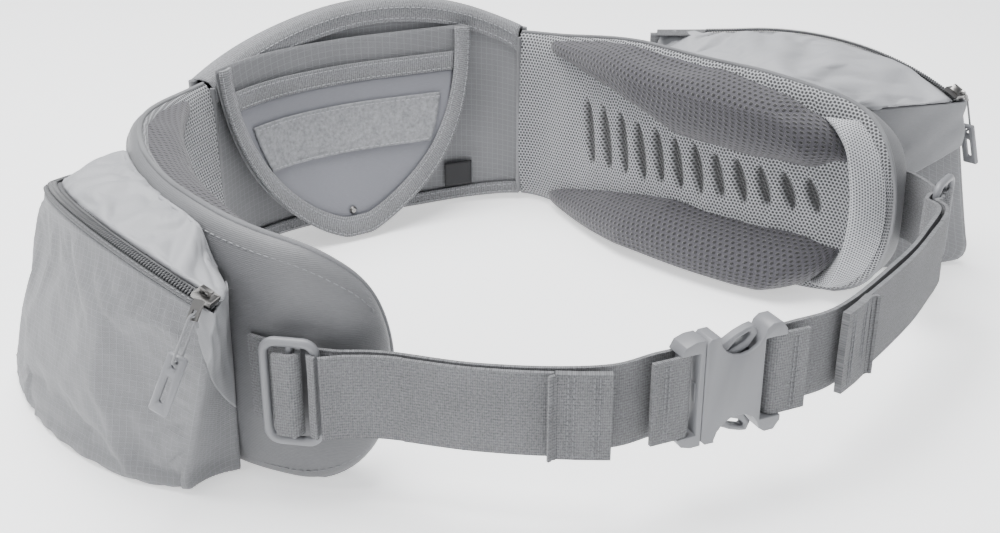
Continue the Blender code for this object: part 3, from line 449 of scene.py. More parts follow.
def wing_heights(side, t):
    """Return the foot and top of a wing at t from its tip."""
    share = t / WING_LENGTH[side]
    top = blend(108, 120, ease(share / 0.35))
    top = blend(top, 108, ease((share - 0.6) / 0.4))
    foot = blend(0.0, 3.0, ease((share - 0.7) / 0.3))
    middle, half = (top + foot) / 2, (top - foot) / 2
    if t < 42:
        half *= (1 - (1 - max(t, 0.02) / 42) ** 2.4) ** 0.5
    return middle - half, middle + half


def tip_growth(side, t):
    """Return how much thicker a wing is than usual: the right wing's tip is fuller."""
    return 1 + (0.75 if side == "right" else 0.0) * ease(1 - t / 60)


def lumbar_heights(s):
    share = (s - SEAM["left"]) / (SEAM["right"] - SEAM["left"])
    rise = sin(pi * share ** 1.25) ** 0.85 if 0 < share < 1 else 0
    return blend(3.0, 1.5, rise), blend(109, 134, rise)


print("belt line:", round(BELT.length), "mm")

# %% [markdown]
# ## How a cloth piece is made
# Each one starts as a flat grid, added with the grid operator, and every point of the grid is
# then moved to its place on the belt. The grid's UV map is set from the distances between the
# moved points, in millimetres, so that weaves keep their size. Solidify gives it thickness.

# %% Helper: a cloth panel


def choose(made):
    """Make one object the only selected and active one."""
    bpy.ops.object.select_all(action="DESELECT")
    made.select_set(True)
    bpy.context.view_layer.objects.active = made


def run_modifiers(made):
    choose(made)
    for modifier in list(made.modifiers):
        bpy.ops.object.modifier_apply(modifier=modifier.name)


def panel(name, columns, rows, place, paint, thick=0.0, offset=0.0, flip=False, levels=0):
    """Make a grid of cloth whose point (u, v), each from 0 to 1, goes to place(u, v) in mm."""
    bpy.ops.object.select_all(action="DESELECT")
    bpy.ops.mesh.primitive_grid_add(x_subdivisions=columns, y_subdivisions=rows, size=2)
    made = bpy.context.object
    made.name = name
    mesh = made.data
    mesh.name = name
    spot = {}
    for vertex in mesh.vertices:
        i = round((vertex.co.x + 1) / 2 * columns)
        j = round((vertex.co.y + 1) / 2 * rows)
        spot[i, j] = vertex.index
    point = {key: Vector(place(key[0] / columns, key[1] / rows)) for key in spot}
    for key, index in spot.items():
        mesh.vertices[index].co = point[key] * MM
    run = [0.0]
    for i in range(columns):
        steps = [(point[i + 1, j] - point[i, j]).length for j in range(rows + 1)]
        run.append(run[-1] + sum(steps) / len(steps))
    rise = {}
    for i in range(columns + 1):
        level = [0.0]
        for j in range(rows):
            level.append(level[-1] + (point[i, j + 1] - point[i, j]).length)
        for j in range(rows + 1):
            rise[i, j] = level[j] - level[-1] / 2
    flat = {}
    for key, index in spot.items():
        flat[index] = (run[key[0]], rise[key])
    layer = mesh.uv_layers.active or mesh.uv_layers.new(name="cloth")
    for loop in mesh.loops:
        layer.data[loop.index].uv = flat[loop.vertex_index]
    if flip:
        mesh.flip_normals()
    mesh.materials.clear()
    mesh.materials.append(paint)
    mesh.shade_smooth()
    if thick:
        wall = made.modifiers.new("thickness", "SOLIDIFY")
        wall.thickness = thick * MM
        wall.offset = offset
        wall.use_even_offset = False
    if levels:
        finer = made.modifiers.new("finer", "SUBSURF")
        finer.levels = levels
        finer.render_levels = levels
    run_modifiers(made)
    return made


def join(name, parts):
    """Join several objects into the first one."""
    choose(parts[0])
    for part in parts[1:]:
        part.select_set(True)
    if len(parts) > 1:
        bpy.ops.object.join()
    parts[0].name = name
    parts[0].data.name = name
    return parts[0]


def put(made, body, slot, *nodes):
    """Hang a piece on a body of the frame, in place of some of its nodes."""
    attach(made, body)
    if nodes:
        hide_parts(*nodes)
    return made


print("cloth helpers ready")

# %% [markdown]
# Stitches are what make sewn work look sewn. One stitch is a short pill of thread; it is
# modelled once and copied along a line of points, a little sunk into the cloth.

# %% Helper: rows of stitches


def one_stitch(length=2.3, radius=0.34):
    """Return the points and faces of one stitch that lies along X, in millimetres."""
    ring = [(-0.5, 0.45), (-0.32, 1.0), (0.32, 1.0), (0.5, 0.45)]
    points, faces = [], []
    for x, size in ring:
        for k in range(6):
            angle = k * pi / 3
            points.append(Vector((x * length, cos(angle) * radius * size, sin(angle) * radius * size)))
    for i in range(3):
        for k in range(6):
            a, b = i * 6 + k, i * 6 + (k + 1) % 6
            faces.append((a, b, b + 6, a + 6))
    faces.append(tuple(reversed(range(6))))
    faces.append(tuple(range(18, 24)))
    return points, faces


def frames_along(points, step):
    """Return places and directions at even distances along a line of points."""
    found, left = [], step / 2
    for a, b in zip(points, points[1:]):
        length = (b - a).length
        while left <= length and length > 0:
            found.append((a.lerp(b, left / length), (b - a).normalized()))
            left += step
        left -= length
    return found


def copies(name, shape, placed, paint):
    """Copy a small shape, given as points and faces, to many places as one mesh."""
    points, faces = shape
    all_points, all_faces = [], []
    for matrix in placed:
        base = len(all_points)
        all_points.extend((matrix @ p) * MM for p in points)
        all_faces.extend(tuple(base + k for k in face) for face in faces)
    mesh = bpy.data.meshes.new(name)
    mesh.from_pydata(all_points, [], all_faces)
    mesh.materials.append(paint)
    mesh.shade_smooth()
    made = bpy.data.objects.new(name, mesh)
    bpy.context.scene.collection.objects.link(made)
    return made


def along_matrix(place, along, up):
    """Return a matrix that lays X along a direction, with Z near up."""
    x = along.normalized()
    y = up.cross(x).normalized()
    z = x.cross(y)
    return Matrix.Translation(place) @ Matrix((x, y, z)).transposed().to_4x4()


def stitches(name, lines, paint=None, pitch=3.3, length=2.3, radius=0.34):
    """Sew rows of stitches along lines of points."""
    placed = []
    for points in lines:
        for place, along in frames_along(points, pitch):
            up = Vector((0, 0, 1)) if abs(along.z) < 0.9 else Vector((1, 0, 0))
            placed.append(along_matrix(place, along, up))
    return copies(name, one_stitch(length, radius), placed, paint or THREAD)


print("stitch faces:", len(one_stitch()[1]))

# %% [markdown]
# ## The wings
# A wing is two cloths over foam: a coated cloth outside and an open mesh inside, sewn together
# round the rim. In section it is a soft rounded slab, so both cloths bow away from the rim and
# flatten. The inner mesh has slanted slots down its middle, where air passes to the foam. The
# slots are dented and painted almost black, as painted shade in the grooves.

# %% Section and shape of a wing


def bowed(v, square=7.0):
    """Return a height share and an outward share across a soft slab, from its foot to its top."""
    level = -cos(pi * v)
    bulge = (1 - min(abs(level), 1.0) ** square) ** 0.5
    return (level + 1) / 2, bulge


def wing_place(side, outside, length, v, seat=4.6):
    foot, top = wing_heights(side, length)
    level, bulge = bowed(v)
    z = blend(foot, top, level)
    round_end = sqrt(1 - (1 - min(length / 16, 1.0)) ** 2) if length < 16 else 1.0
    grown = tip_growth(side, length)
    depth = (8.9 * grown + seat * (grown - 1)) if outside else 6.6
    n = seat + (depth if outside else -depth) * bulge * round_end
    return BELT.at(wing_s(side, length), n, z)


SLOT_FIRST, SLOT_LAST, SLOTS = 44.0, 196.0, 12


def slot_share(side, t, z):
    """Return 1 inside a slanted slot of a wing's face and 0 away from the slots; this share sets both the
    dent and the painted shade in it.
    """
    best = 0.0
    step = (SLOT_LAST - SLOT_FIRST) / (SLOTS - 1)
    for k in range(SLOTS):
        middle = SLOT_FIRST + k * step
        long = blend(8.5, 20.0, k / (SLOTS - 1))
        rise = (z - 57.0 - 1.5 * k / SLOTS) / long
        if abs(rise) >= 1:
            continue
        lean = middle + rise * 3.2
        near = abs(t - lean) / (2.9 * (1 - rise * rise) ** 0.5 + 0.2)
        best = max(best, ease(1.55 - near))
    return best


def wing_face(side):
    """Make the wearer's side of a wing, dented at its slots, with painted shade in the dents."""
    long = WING_LENGTH[side] - 0.4
    slots = {}

    def place(u, v):
        t = long * (0.45 * u ** 1.6 + 0.55 * u)
        base = wing_place(side, False, t, v)
        dent = slot_share(side, t, base.z)
        inward = BELT.outward(wing_s(side, t))
        crease = 0.35 * sin(t * 0.21 + base.z * 0.05) * sin(v * pi)
        moved = base + Vector((inward.x, inward.y, 0)) * (dent * 2.4 + crease)
        slots[round(u * 200), round(v * 72)] = dent
        return moved

    made = panel(f"wing_face_{side}", 200, 72, place, FACE_MESH, flip=side == "left")
    # Each point's slot share is stored as the 'slot' attribute, which the face mesh uses to paint shade into
    # the slots.
    shade = made.data.attributes.new("slot", "FLOAT", "POINT")
    for vertex in made.data.vertices:
        i, j = vertex.index % 201, vertex.index // 201
        shade.data[vertex.index].value = slots.get((i, j), 0.0)
    return made


def wing_back(side):
    """Make the outside of a wing, of coated cloth with a few soft waves."""
    long = WING_LENGTH[side] - 0.4

    def place(u, v):
        t = long * (0.5 * u ** 1.7 + 0.5 * u)
        wave = 0.5 * sin(t * 0.11 + v * 5) * sin(pi * v)
        base = wing_place(side, True, t, v)
        out = BELT.outward(wing_s(side, t))
        return base + Vector((out.x, out.y, 0)) * wave

    return panel(f"wing_back_{side}", 130, 40, place, WING_CLOTH, flip=side == "right")


for side in ("left", "right"):
    face = wing_face(side)
    put(face, "belt", "light_mesh", f"mesh_face_{side}", f"foam_core_{side}")
    back = wing_back(side)
    put(back, "belt", "coated_fabric", f"outer_shell_{side}", f"stiffener_{side}")
    print(side, "wing:", len(face.data.polygons), "and", len(back.data.polygons), "faces")

# %% [markdown]
# The rim is where the two cloths meet. A narrow piping covers the join, and a row of stitches
# runs just inside it on the outer cloth.

# %% Piping and stitches round each wing


def tube(name, points, radius, paint, closed=False, sides=2):
    """Make a round tube through points, in millimetres, as a mesh with its own UV map."""
    curve = bpy.data.curves.new(name, "CURVE")
    curve.dimensions = "3D"
    curve.bevel_depth = radius * MM
    curve.bevel_resolution = sides
    curve.use_fill_caps = not closed
    line = curve.splines.new("POLY")
    line.points.add(len(points) - 1)
    for node, place in zip(line.points, points):
        node.co = (*(place * MM), 1)
    line.use_cyclic_u = closed
    drawn = bpy.data.objects.new(name, curve)
    bpy.context.scene.collection.objects.link(drawn)
    choose(drawn)
    bpy.ops.object.convert(target="MESH")
    made = bpy.context.object
    made.data.materials.clear()
    made.data.materials.append(paint)
    made.data.shade_smooth()
    return made


def wing_rim(side, inset=0.0, n=4.6):
    """Walk a wing's rim from its seam along the foot, round the tip and back along the top."""
    long = WING_LENGTH[side] - 1
    ts = [long * (1 - i / 90) for i in range(91)]
    ts = [max(t, 0.0) for t in ts]
    near = [42 * (1 - (i / 24)) ** 2 for i in range(1, 25)]
    ts = [t for t in ts if t > 42] + near
    foot = [(t, -1) for t in ts]
    both = foot + [(t, 1) for t in reversed(ts[:-1])]
    points = []
    for t, edge in both:
        low, high = wing_heights(side, max(t, 0.0))
        z = low + inset if edge < 0 else high - inset
        if high - low < 2 * inset:
            z = (low + high) / 2
        points.append(BELT.at(wing_s(side, t + inset * ease(1 - t / 30)), n, max(z, 1.5)))
    return points


for side in ("left", "right"):
    piping = tube(f"wing_piping_{side}", wing_rim(side), 1.3, BINDING)
    put(piping, "belt", "binding")
    print(side, "rim:", len(piping.data.polygons), "faces")

# %% Stitches on the outer cloth, just inside the rim
STITCH_INSET = 6.5
for side in ("left", "right"):
    low, high = [], []
    for i in range(80):
        t = (WING_LENGTH[side] - 6) * (1 - i / 79) + 9 * i / 79
        foot, top = wing_heights(side, t)
        share = STITCH_INSET / max(top - foot, 1)
        if share >= 0.5:
            continue
        for line, v in ((low, share), (high, 1 - share)):
            level = 2 * v - 1
            turned_v = (pi - (pi / 2 - atan2(level, sqrt(1 - level * level)))) / pi
            line.append(wing_place(side, True, t, turned_v))
    rows = [low + list(reversed(high))]
    seam = stitches(f"wing_stitches_{side}", rows, THREAD, 3.4, 2.4, 0.3)
    put(seam, "belt", "binding")
    print(side, "wing stitches:", len(seam.data.polygons) // 20)

# %% [markdown]
# ## The pads and the rolled rim
# Each wing has an upper and a lower pad of firm foam under dark dented mesh, and a roll of light
# mesh round its tip. They are crowned panels, pinned at their edges, that cloth physics then
# blows up slightly, so that the cover looks stretched over foam.

# %% Helper: cloth physics on an open panel


def fill_out(made, held, pressure, cap, slack=0.0, frames=20):
    """Blow a panel up a little with cloth physics, and keep the result in its mesh."""
    scene = bpy.context.scene
    group = made.vertex_groups.new(name="held")
    group.add(held, 1.0, "REPLACE")
    rest = [vertex.co.copy() for vertex in made.data.vertices]
    cloth = made.modifiers.new("cloth", "CLOTH")
    cloth.settings.quality = 5
    cloth.settings.mass = 0.3
    cloth.settings.vertex_group_mass = "held"
    cloth.settings.use_pressure = True
    cloth.settings.uniform_pressure_force = pressure
    cloth.settings.shrink_min = -slack
    cloth.settings.effector_weights.gravity = 0
    cloth.point_cache.frame_start = 1
    cloth.point_cache.frame_end = frames
    scene.frame_start, scene.frame_end = 1, frames
    for number in range(1, frames + 1):
        scene.frame_set(number)
    seen = bpy.context.evaluated_depsgraph_get()
    blown = [vertex.co.copy() for vertex in made.evaluated_get(seen).data.vertices]
    made.modifiers.remove(cloth)
    made.vertex_groups.clear()
    furthest = 0.0
    for vertex, was, now in zip(made.data.vertices, rest, blown):
        move = now - was
        if move.length > cap * MM:
            move = move.normalized() * cap * MM
        furthest = max(furthest, move.length)
        vertex.co = was + move
    scene.frame_set(1)
    print(made.name, "moved up to", round(furthest / MM, 1), "mm")
    return made


def border(columns, rows):
    """Return the numbers of the points round the edge of a grid panel."""
    wide = columns + 1
    edge = [i for i in range(wide)] + [rows * wide + i for i in range(wide)]
    return edge + [j * wide for j in range(rows + 1)] + [j * wide + columns for j in range(rows + 1)]


# %% The pads
PAD_FIRST = 21
PAD_CROWN = {"left": (17, 17), "right": (18, 26)}


def tip_reach(z):
    """Return how far the wing tip curves back at a height."""
    level = min(abs(z - 54) / 54, 0.93)
    return 42 * (1 - sqrt(1 - level * level))


def face_depth(side, t, z):
    """Return how far towards the wearer the wing's face lies at a height."""
    foot, top = wing_heights(side, t)
    level = min(abs(2 * (z - foot) / max(top - foot, 1) - 1), 1.0)
    return 4.6 - 6.6 * (1 - level ** 7) ** 0.5


def pad_limits(side, upper, share):
    """Return a pad's lowest and highest points at a share of its length."""
    t = blend(PAD_FIRST, WING_LENGTH[side] - 22, share)
    foot, top = wing_heights(side, t)
    taper = max(min((1 - share) / 0.5, 1.0), 0.0) ** 0.7
    near_tip = ease(share / 0.12)
    if upper:
        high = top - 2.5
        low = blend(high - 5, blend(72, 76, share), taper)
        return blend((low + high) / 2 - 10, low, near_tip), high
    low = foot + 1.0
    high = blend(low + 5, blend(33, 38, share), taper)
    return low, blend((low + high) / 2 + 10, high, near_tip)


def pad_point(side, upper, u, v):
    """Return a point of a pad's crowned cover."""
    share = 0.5 * (1 - cos(pi * u)) * 0.5 + 0.5 * u
    foot, top = pad_limits(side, upper, share)
    up = 0.5 * (1 - cos(pi * v))
    fuller = up ** 1.25 if upper else up ** 0.6
    ends = min(max(share, 0.0) / 0.1, 1.0) ** 0.5 * min((1 - share) / 0.42, 1.0) ** 0.6
    crown = max(1 - abs(2 * fuller - 1) ** 2.6, 0.0) ** 0.72 * ends
    z = blend(foot, top, up)
    t = blend(PAD_FIRST + tip_reach(z), WING_LENGTH[side] - 22, share)
    deep = PAD_CROWN[side][0 if upper else 1] * crown
    return BELT.at(wing_s(side, t), face_depth(side, t, z) + 1.2 - deep, z)


for side in ("left", "right"):
    for upper in (True, False):
        name = f"{'upper' if upper else 'lower'}_pad_{side}"
        pad = panel(f"{name}_cover", 90, 40, lambda u, v: pad_point(side, upper, u, v), PAD_MESH,
                    flip=side == "left")
        fill_out(pad, border(90, 40), 3.0, 3.0)
        put(pad, "belt", "pad_mesh", name)

# %% The rolled rims
for side in ("left", "right"):
    def roll_point(u, v):
        angle = blend(-70, 70, u)
        z = 54 + sin(radians(angle)) * 51
        reach = tip_reach(z)
        thin = max(1 - abs(angle / 70) ** 4, 0.0) ** 0.5
        round_over = sin(pi * v) ** 0.75
        back = blend(1.5, 21, v ** 0.9)
        return BELT.at(wing_s(side, reach + back), -0.5 - 15.5 * round_over * thin, z)

    roll = panel(f"tip_roll_{side}", 60, 24, roll_point, RIM_MESH, flip=side == "right")
    fill_out(roll, border(60, 24), 2.0, 2.0)
    put(roll, "belt", "light_mesh", f"tip_rim_{side}")

# %% [markdown]
# ## The lumbar panel
# The taller panel at the back has ripstop on both sides, a wide binding tape folded over its top
# and a narrower one along its foot. The tapes are U-shaped sweeps; stitches run near their edges.

# %% The lumbar cloths


def lumbar_cloth(name, n, paint, inside):
    """Make one side of the lumbar panel, with soft waves in its cloth."""
    def place(u, v):
        s = blend(SEAM["left"] + 0.3, SEAM["right"] - 0.3, u)
        foot, top = lumbar_heights(s)
        soft = 0.9 * sin(pi * v) * sin(s * 0.05 + 1.2 * v) + 0.5 * sin(s * 0.13 - 4 * v) * sin(pi * v)
        fuller = soft if inside else soft - 0.5 + 1.5 * sin(pi * v)
        return BELT.at(s, n + fuller, blend(foot + 2, top - 2, v))

    return panel(name, 100, 50, place, paint, flip=inside)


inner = lumbar_cloth("lumbar_inner_cloth", 0.2, LUMBAR_CLOTH, True)
put(inner, "belt", "ripstop", "lumbar_inner_panel", "lumbar_foam")
outer = lumbar_cloth("lumbar_outer_cloth", 13.0, LUMBAR_CLOTH, False)
put(outer, "belt", "ripstop", "lumbar_outer_shell", "lumbar_frame_sheet")


def folded_tape(name, edge, inside, outside, node):
    """Fold a tape over the top (edge 1) or the foot (edge -1) of the lumbar panel."""
    def place(u, v):
        s = blend(SEAM["left"] + 0.4, SEAM["right"] - 0.4, u)
        foot, top = lumbar_heights(s)
        rim = top if edge > 0 else foot
        turn = 7.6
        corners = [(-1.5, inside), (-1.7, inside * 0.5), (-1.2, 3.0), (1.5, 0.2), (turn, -0.9), (13, 0.4),
                   (14.6, 3.0), (14.7, outside * 0.6), (14.4, outside)]
        x = v * (len(corners) - 1)
        k = min(int(x), len(corners) - 2)
        n = blend(corners[k][0], corners[k + 1][0], x - k)
        down = blend(corners[k][1], corners[k + 1][1], x - k)
        return BELT.at(s, n, max(rim - edge * down, 0.5))

    made = panel(name, 110, 32, place, BINDING, thick=1.0, offset=0.0)
    return put(made, "belt", "binding", node)


folded_tape("lumbar_top_tape", 1, 12.0, 10.0, "lumbar_top_binding")
folded_tape("lumbar_foot_tape", -1, 9.0, 8.0, "lumbar_bottom_binding")
rows = []
for edge, down in ((1, 9.8), (1, 3.4), (-1, 7.2), (-1, 2.8)):
    line = []
    for i in range(90):
        s = blend(SEAM["left"] + 3, SEAM["right"] - 3, i / 89)
        foot, top = lumbar_heights(s)
        line.append(BELT.at(s, -2.15, top - down if edge > 0 else foot + down))
    rows.append(line)
put(stitches("lumbar_stitches", rows, PALE_THREAD, 3.4, 2.4, 0.26), "belt", "binding")
for side in ("left", "right"):
    s = SEAM[side]
    line = [BELT.at(s, -0.9, blend(5, 106, i / 30)) for i in range(31)]
    put(tube(f"lumbar_side_seam_{side}", line, 1.5, BINDING), "belt", "binding")
    out = [BELT.at(s, 11.6, blend(3, 109, i / 30)) for i in range(31)]
    put(tube(f"lumbar_outer_seam_{side}", out, 2.6, WING_CLOTH), "belt", "coated_fabric")
print("lumbar panel made")

# %% The care label


def label_point(u, v):
    s = SEAM["right"] - 40 + blend(-9, 9, u)
    return BELT.at(s, -2.4 - 0.5 * sin(pi * u), blend(12.5, 28, v))


put(panel("plain_label", 12, 10, label_point, LABEL, thick=0.5, flip=True), "belt", "label", "care_label")

# %% [markdown]
# ## The flap
# A shield of ripstop hangs inside the lumbar panel. On it lie a smooth coated panel, a band at
# its mouth and a felted patch; a tape binds its two sides. It leans towards the wearer.

# %% The flap's layers
FLAP_TOP, FLAP_FOOT, FLAP_LEAN = 116, 1.2, 24
FLAP_FIRST, FLAP_LAST = SEAM["left"] + 1, SEAM["right"] - 34
FLAP_MIDDLE, FLAP_HALF = (FLAP_FIRST + FLAP_LAST) / 2, (FLAP_LAST - FLAP_FIRST) / 2


def flap_width(drop):
    """Return the flap's share of its full width at a share of its height."""
    return (1 - min(max(drop, 0.0), 0.985) ** 2.4) ** 0.68


def flap_at(across, drop, n, keep=1.0):
    """Return a point of the flap, which hangs and leans."""
    s = FLAP_MIDDLE + across * FLAP_HALF * keep * flap_width(drop)
    wave = 1.1 * sin(across * 2.2 + drop * 5) * sin(pi * min(drop, 1.0))
    return BELT.at(s, n + wave - FLAP_LEAN * max(drop, 0.0) ** 1.5, blend(FLAP_TOP, FLAP_FOOT, drop))


def flap_layer(name, n, paint, slot, nodes, first=0.0, last=0.985, keep=1.0, thick=0.9):
    """Make one of the flap's layers."""
    def place(u, v):
        return flap_at(blend(-1, 1, u), blend(last, first, v), n, keep)

    made = panel(name, 70, 40, place, paint, thick=thick, flip=True)
    return put(made, "flap", slot, *nodes)


flap_layer("flap_backing_cloth", -2.8, LUMBAR_CLOTH, "ripstop", ["flap_backing"])
flap_layer("flap_smooth_panel", -4.3, FLAP_CLOTH, "coated_fabric", ["flap_pocket_panel"], 0.22, 0.96, 0.9)
flap_layer("flap_mouth_tape", -5.4, BINDING, "binding", ["flap_mouth_band"], 0.13, 0.225, 0.9, 1.1)
flap_layer("flap_felt_patch", -5.6, FELT, "loop_pile", ["flap_loop_patch"], 0.33, 0.57, 0.8, 1.6)


def flap_rim(u, v):
    """Follow the flap's left side, its tip and its right side; v goes across the tape."""
    along = blend(-1, 1, u)
    drop = 0.985 * (1 - abs(along) ** 1.7)
    side = 1 if along > 0 else -1
    share = blend(1.015, 1 - 8.6 / FLAP_HALF, v)
    lift = -6.6 - 0.8 * sin(pi * v)
    spread = min(abs(along) / 0.05, 1.0)
    s = FLAP_MIDDLE + side * FLAP_HALF * flap_width(drop) * share * blend(0.75, 1, spread)
    deep = drop * blend(1.0, 1 - 8.6 / FLAP_HALF, v)
    return BELT.at(s, lift - FLAP_LEAN * deep ** 1.5, blend(FLAP_TOP, FLAP_FOOT, deep))


flap_tape = panel("flap_edge_tape", 120, 10, flap_rim, BINDING, thick=1.6, flip=True)
put(flap_tape, "flap", "binding", "flap_binding")
rows = [[flap_rim(i / 120, v) + Vector((0, -1.1, 0)) for i in range(121)] for v in (0.16, 0.84)]
for drop in (0.145, 0.21, 0.345, 0.555):
    wide = 0.86 if drop < 0.3 else 0.78
    rows.append([flap_at(blend(-1, 1, i / 60), drop, -7.2 if drop > 0.3 else -6.4, wide) for i in range(61)])
put(stitches("flap_stitches", rows, PALE_THREAD, 3.2, 2.2, 0.24), "flap", "binding")
print("flap made")

# %% [markdown]
# ## The pockets
# A pocket is a bag that swells out of its wing, under a zip that runs on a true arc. The rim, the
# wall and the top panel all take their shape from that arc, so the slider can run along it.

# %% The pocket's shape
POCKET_FRONT = {"left": 60, "right": 50}
POCKET_REAR = {"left": 182, "right": 165}
ZIP_POINTS = {"left": ((48, 33, 97), (92, 34, 113), (158, 35, 105)),
              "right": ((13, 47, 101), (66, 58, 124), (122, 36, 126))}
POCKET_SWELL = {"left": (-2, 26), "right": (19, 10)}
POCKET_LEAN = {"left": (42, 28), "right": (-20, 10)}
FRONT_SHARE, REAR_SHARE, TAPE_END = 0.13, 0.84, 0.93


class Pocket:
    """The shape of one pocket, in millimetres."""

    def __init__(self, side):
        self.side = side
        self.front, self.rear = POCKET_FRONT[side], POCKET_REAR[side]
        self.fit_arc(*[self.wing_point(*place) for place in ZIP_POINTS[side]])
        self.lean = 0.0
        _, out, up = self.zip_frame(0.5)
        self.lean = atan2(out.z, up.z)

    def wing_point(self, t, out, z):
        return BELT.at(wing_s(self.side, t), 13.0 * tip_growth(self.side, t) + 0.3 + out, z)

    def outward(self, t):
        return Vector((*BELT.outward(wing_s(self.side, t)), 0))

    def rearward(self, t):
        out = self.outward(t)
        return Vector((out.y, -out.x, 0)) if self.side == "left" else Vector((-out.y, out.x, 0))

    def fit_arc(self, a, b, c):
        u, v = b - a, c - a
        normal = u.cross(v)
        to_centre = v.length_squared * normal.cross(u) - u.length_squared * normal.cross(v)
        self.centre = a + to_centre / (2 * normal.length_squared)
        self.axis = normal.normalized() * (-1 if normal.z < 0 else 1)
        self.start = a - self.centre
        angle = self.start.angle(c - self.centre)
        turned = Matrix.Rotation(angle, 4, self.axis) @ self.start
        self.sweep = angle if (turned + self.centre - c).length < 1 else -angle

    def zip_point(self, share):
        return self.centre + Matrix.Rotation(self.sweep * share, 4, self.axis) @ self.start

    def zip_frame(self, share):
        along = (self.zip_point(share + 0.01) - self.zip_point(share - 0.01)).normalized()
        out = (self.zip_point(share) - self.centre).normalized()
        up = along.cross(out).normalized()
        if up.z < 0:
            up = -up
        level_out = out * cos(self.lean) - up * sin(self.lean)
        return along, level_out, out * sin(self.lean) + up * cos(self.lean)

    def rim(self, share):
        if share < FRONT_SHARE:
            foot = self.wing_point(self.front + 2, 1.0, ZIP_POINTS[self.side][0][2] - 4)
            return foot.lerp(self.zip_point(0.0), share / FRONT_SHARE)
        if share < REAR_SHARE:
            return self.zip_point((share - FRONT_SHARE) / (REAR_SHARE - FRONT_SHARE))
        x = (share - REAR_SHARE) / (1 - REAR_SHARE)
        start = self.zip_point(1.0)
        corner = start + self.zip_frame(1.0)[0] * 15
        end = self.wing_point(self.rear, 1.0, ZIP_POINTS[self.side][2][2] - 2)
        return start.lerp(corner, x).lerp(corner.lerp(end, x), x)

    def mouth_frame(self, share):
        arc = (share - FRONT_SHARE) / (REAR_SHARE - FRONT_SHARE)
        along, out, up = self.zip_frame(min(max(arc, 0.0), 1.0))
        if arc > 1:
            hand = 1 if up.cross(along).dot(out) > 0 else -1
            along = (self.rim(share + 0.004) - self.rim(share - 0.004)).normalized()
            out = up.cross(along).normalized() * hand
        return out, up

    def wing_t(self, share):
        return blend(self.front + 4, self.rear - 4, share)

    def wall(self, share, down):
        top = self.rim(share) - Vector((0, 0, 1.4))
        t = self.wing_t(share)
        held = min(share / FRONT_SHARE, (1 - share) / (1 - REAR_SHARE), 1.0)
        drop = held * min(down / 0.95, 1) ** 1.15
        swell = blend(*POCKET_SWELL[self.side], ease(share / 0.8)) * drop
        front_lean, rear_lean = POCKET_LEAN[self.side]
        lean = (front_lean * (1 - share) ** 3 + rear_lean * ease(share)) * drop
        point = top + self.outward(t) * swell + self.rearward(t) * lean
        point.z = blend(top.z, 3.5, down)
        return point


POCKETS = {side: Pocket(side) for side in ("left", "right")}
print({side: round(pocket.start.length) for side, pocket in POCKETS.items()}, "mm zip radii")

# %% [markdown]
# The bag is one panel: the face goes down from the zip, turns under and runs back to the wing.
# Its edges and its front end are pinned and its cloth is a little longer than the space, so that
# physics buckles the rest.

# %% The bags


def along_line(points, share):
    """Return the point at a share of the length of a line of points."""
    lengths = [(b - a).length for a, b in zip(points, points[1:])]
    want = share * sum(lengths)
    for a, b, length in zip(points, points[1:], lengths):
        if want <= length and length > 0:
            return a.lerp(b, want / length)
        want -= length
    return points[-1]


def bag(side, columns=120, rows=70):
    """Make a pocket bag in one piece: face, floor and the way back to the wing."""
    pocket = POCKETS[side]
    columns_of_points = {}

    def column(u):
        if u not in columns_of_points:
            wall = [pocket.wall(u, d) for d in (0, 0.12, 0.3, 0.5, 0.7, 0.84, 0.93)]
            low = Vector((wall[-1].x, wall[-1].y, 2.2))
            back = pocket.wing_point(blend(pocket.front + 8, pocket.rear - 8, u), 1.0, 1.6)
            corner = wall[-1].lerp(low, 0.75).lerp(back, 0.02)
            line = [*wall, corner, low.lerp(back, 0.1), low.lerp(back, 0.4), back]
            columns_of_points[u] = smooth_line(line, 5)
        return columns_of_points[u]

    made = panel(f"pocket_bag_{side}", columns, rows, lambda u, v: along_line(column(u), v), POCKET_CLOTH,
                 flip=side == "left")
    wide = columns + 1
    held = border(columns, rows)
    held += [j * wide + i for j in (1, 2) for i in range(wide)]
    held += [j * wide + i for j in range(rows + 1) for i in range(int(FRONT_SHARE * columns) + 3)]
    fill_out(made, held, 0.8, 5.0, 0.035)
    for vertex in made.data.vertices:
        vertex.co.z = max(vertex.co.z, 0.0012)
    wall = made.modifiers.new("thickness", "SOLIDIFY")
    wall.thickness = 0.9 * MM
    wall.offset = -1.0
    run_modifiers(made)
    put(made, "belt", "ripstop", f"pocket_shell_{side}")
    return made


for side in ("left", "right"):
    made = bag(side)
    print(made.name, len(made.data.polygons), "faces")
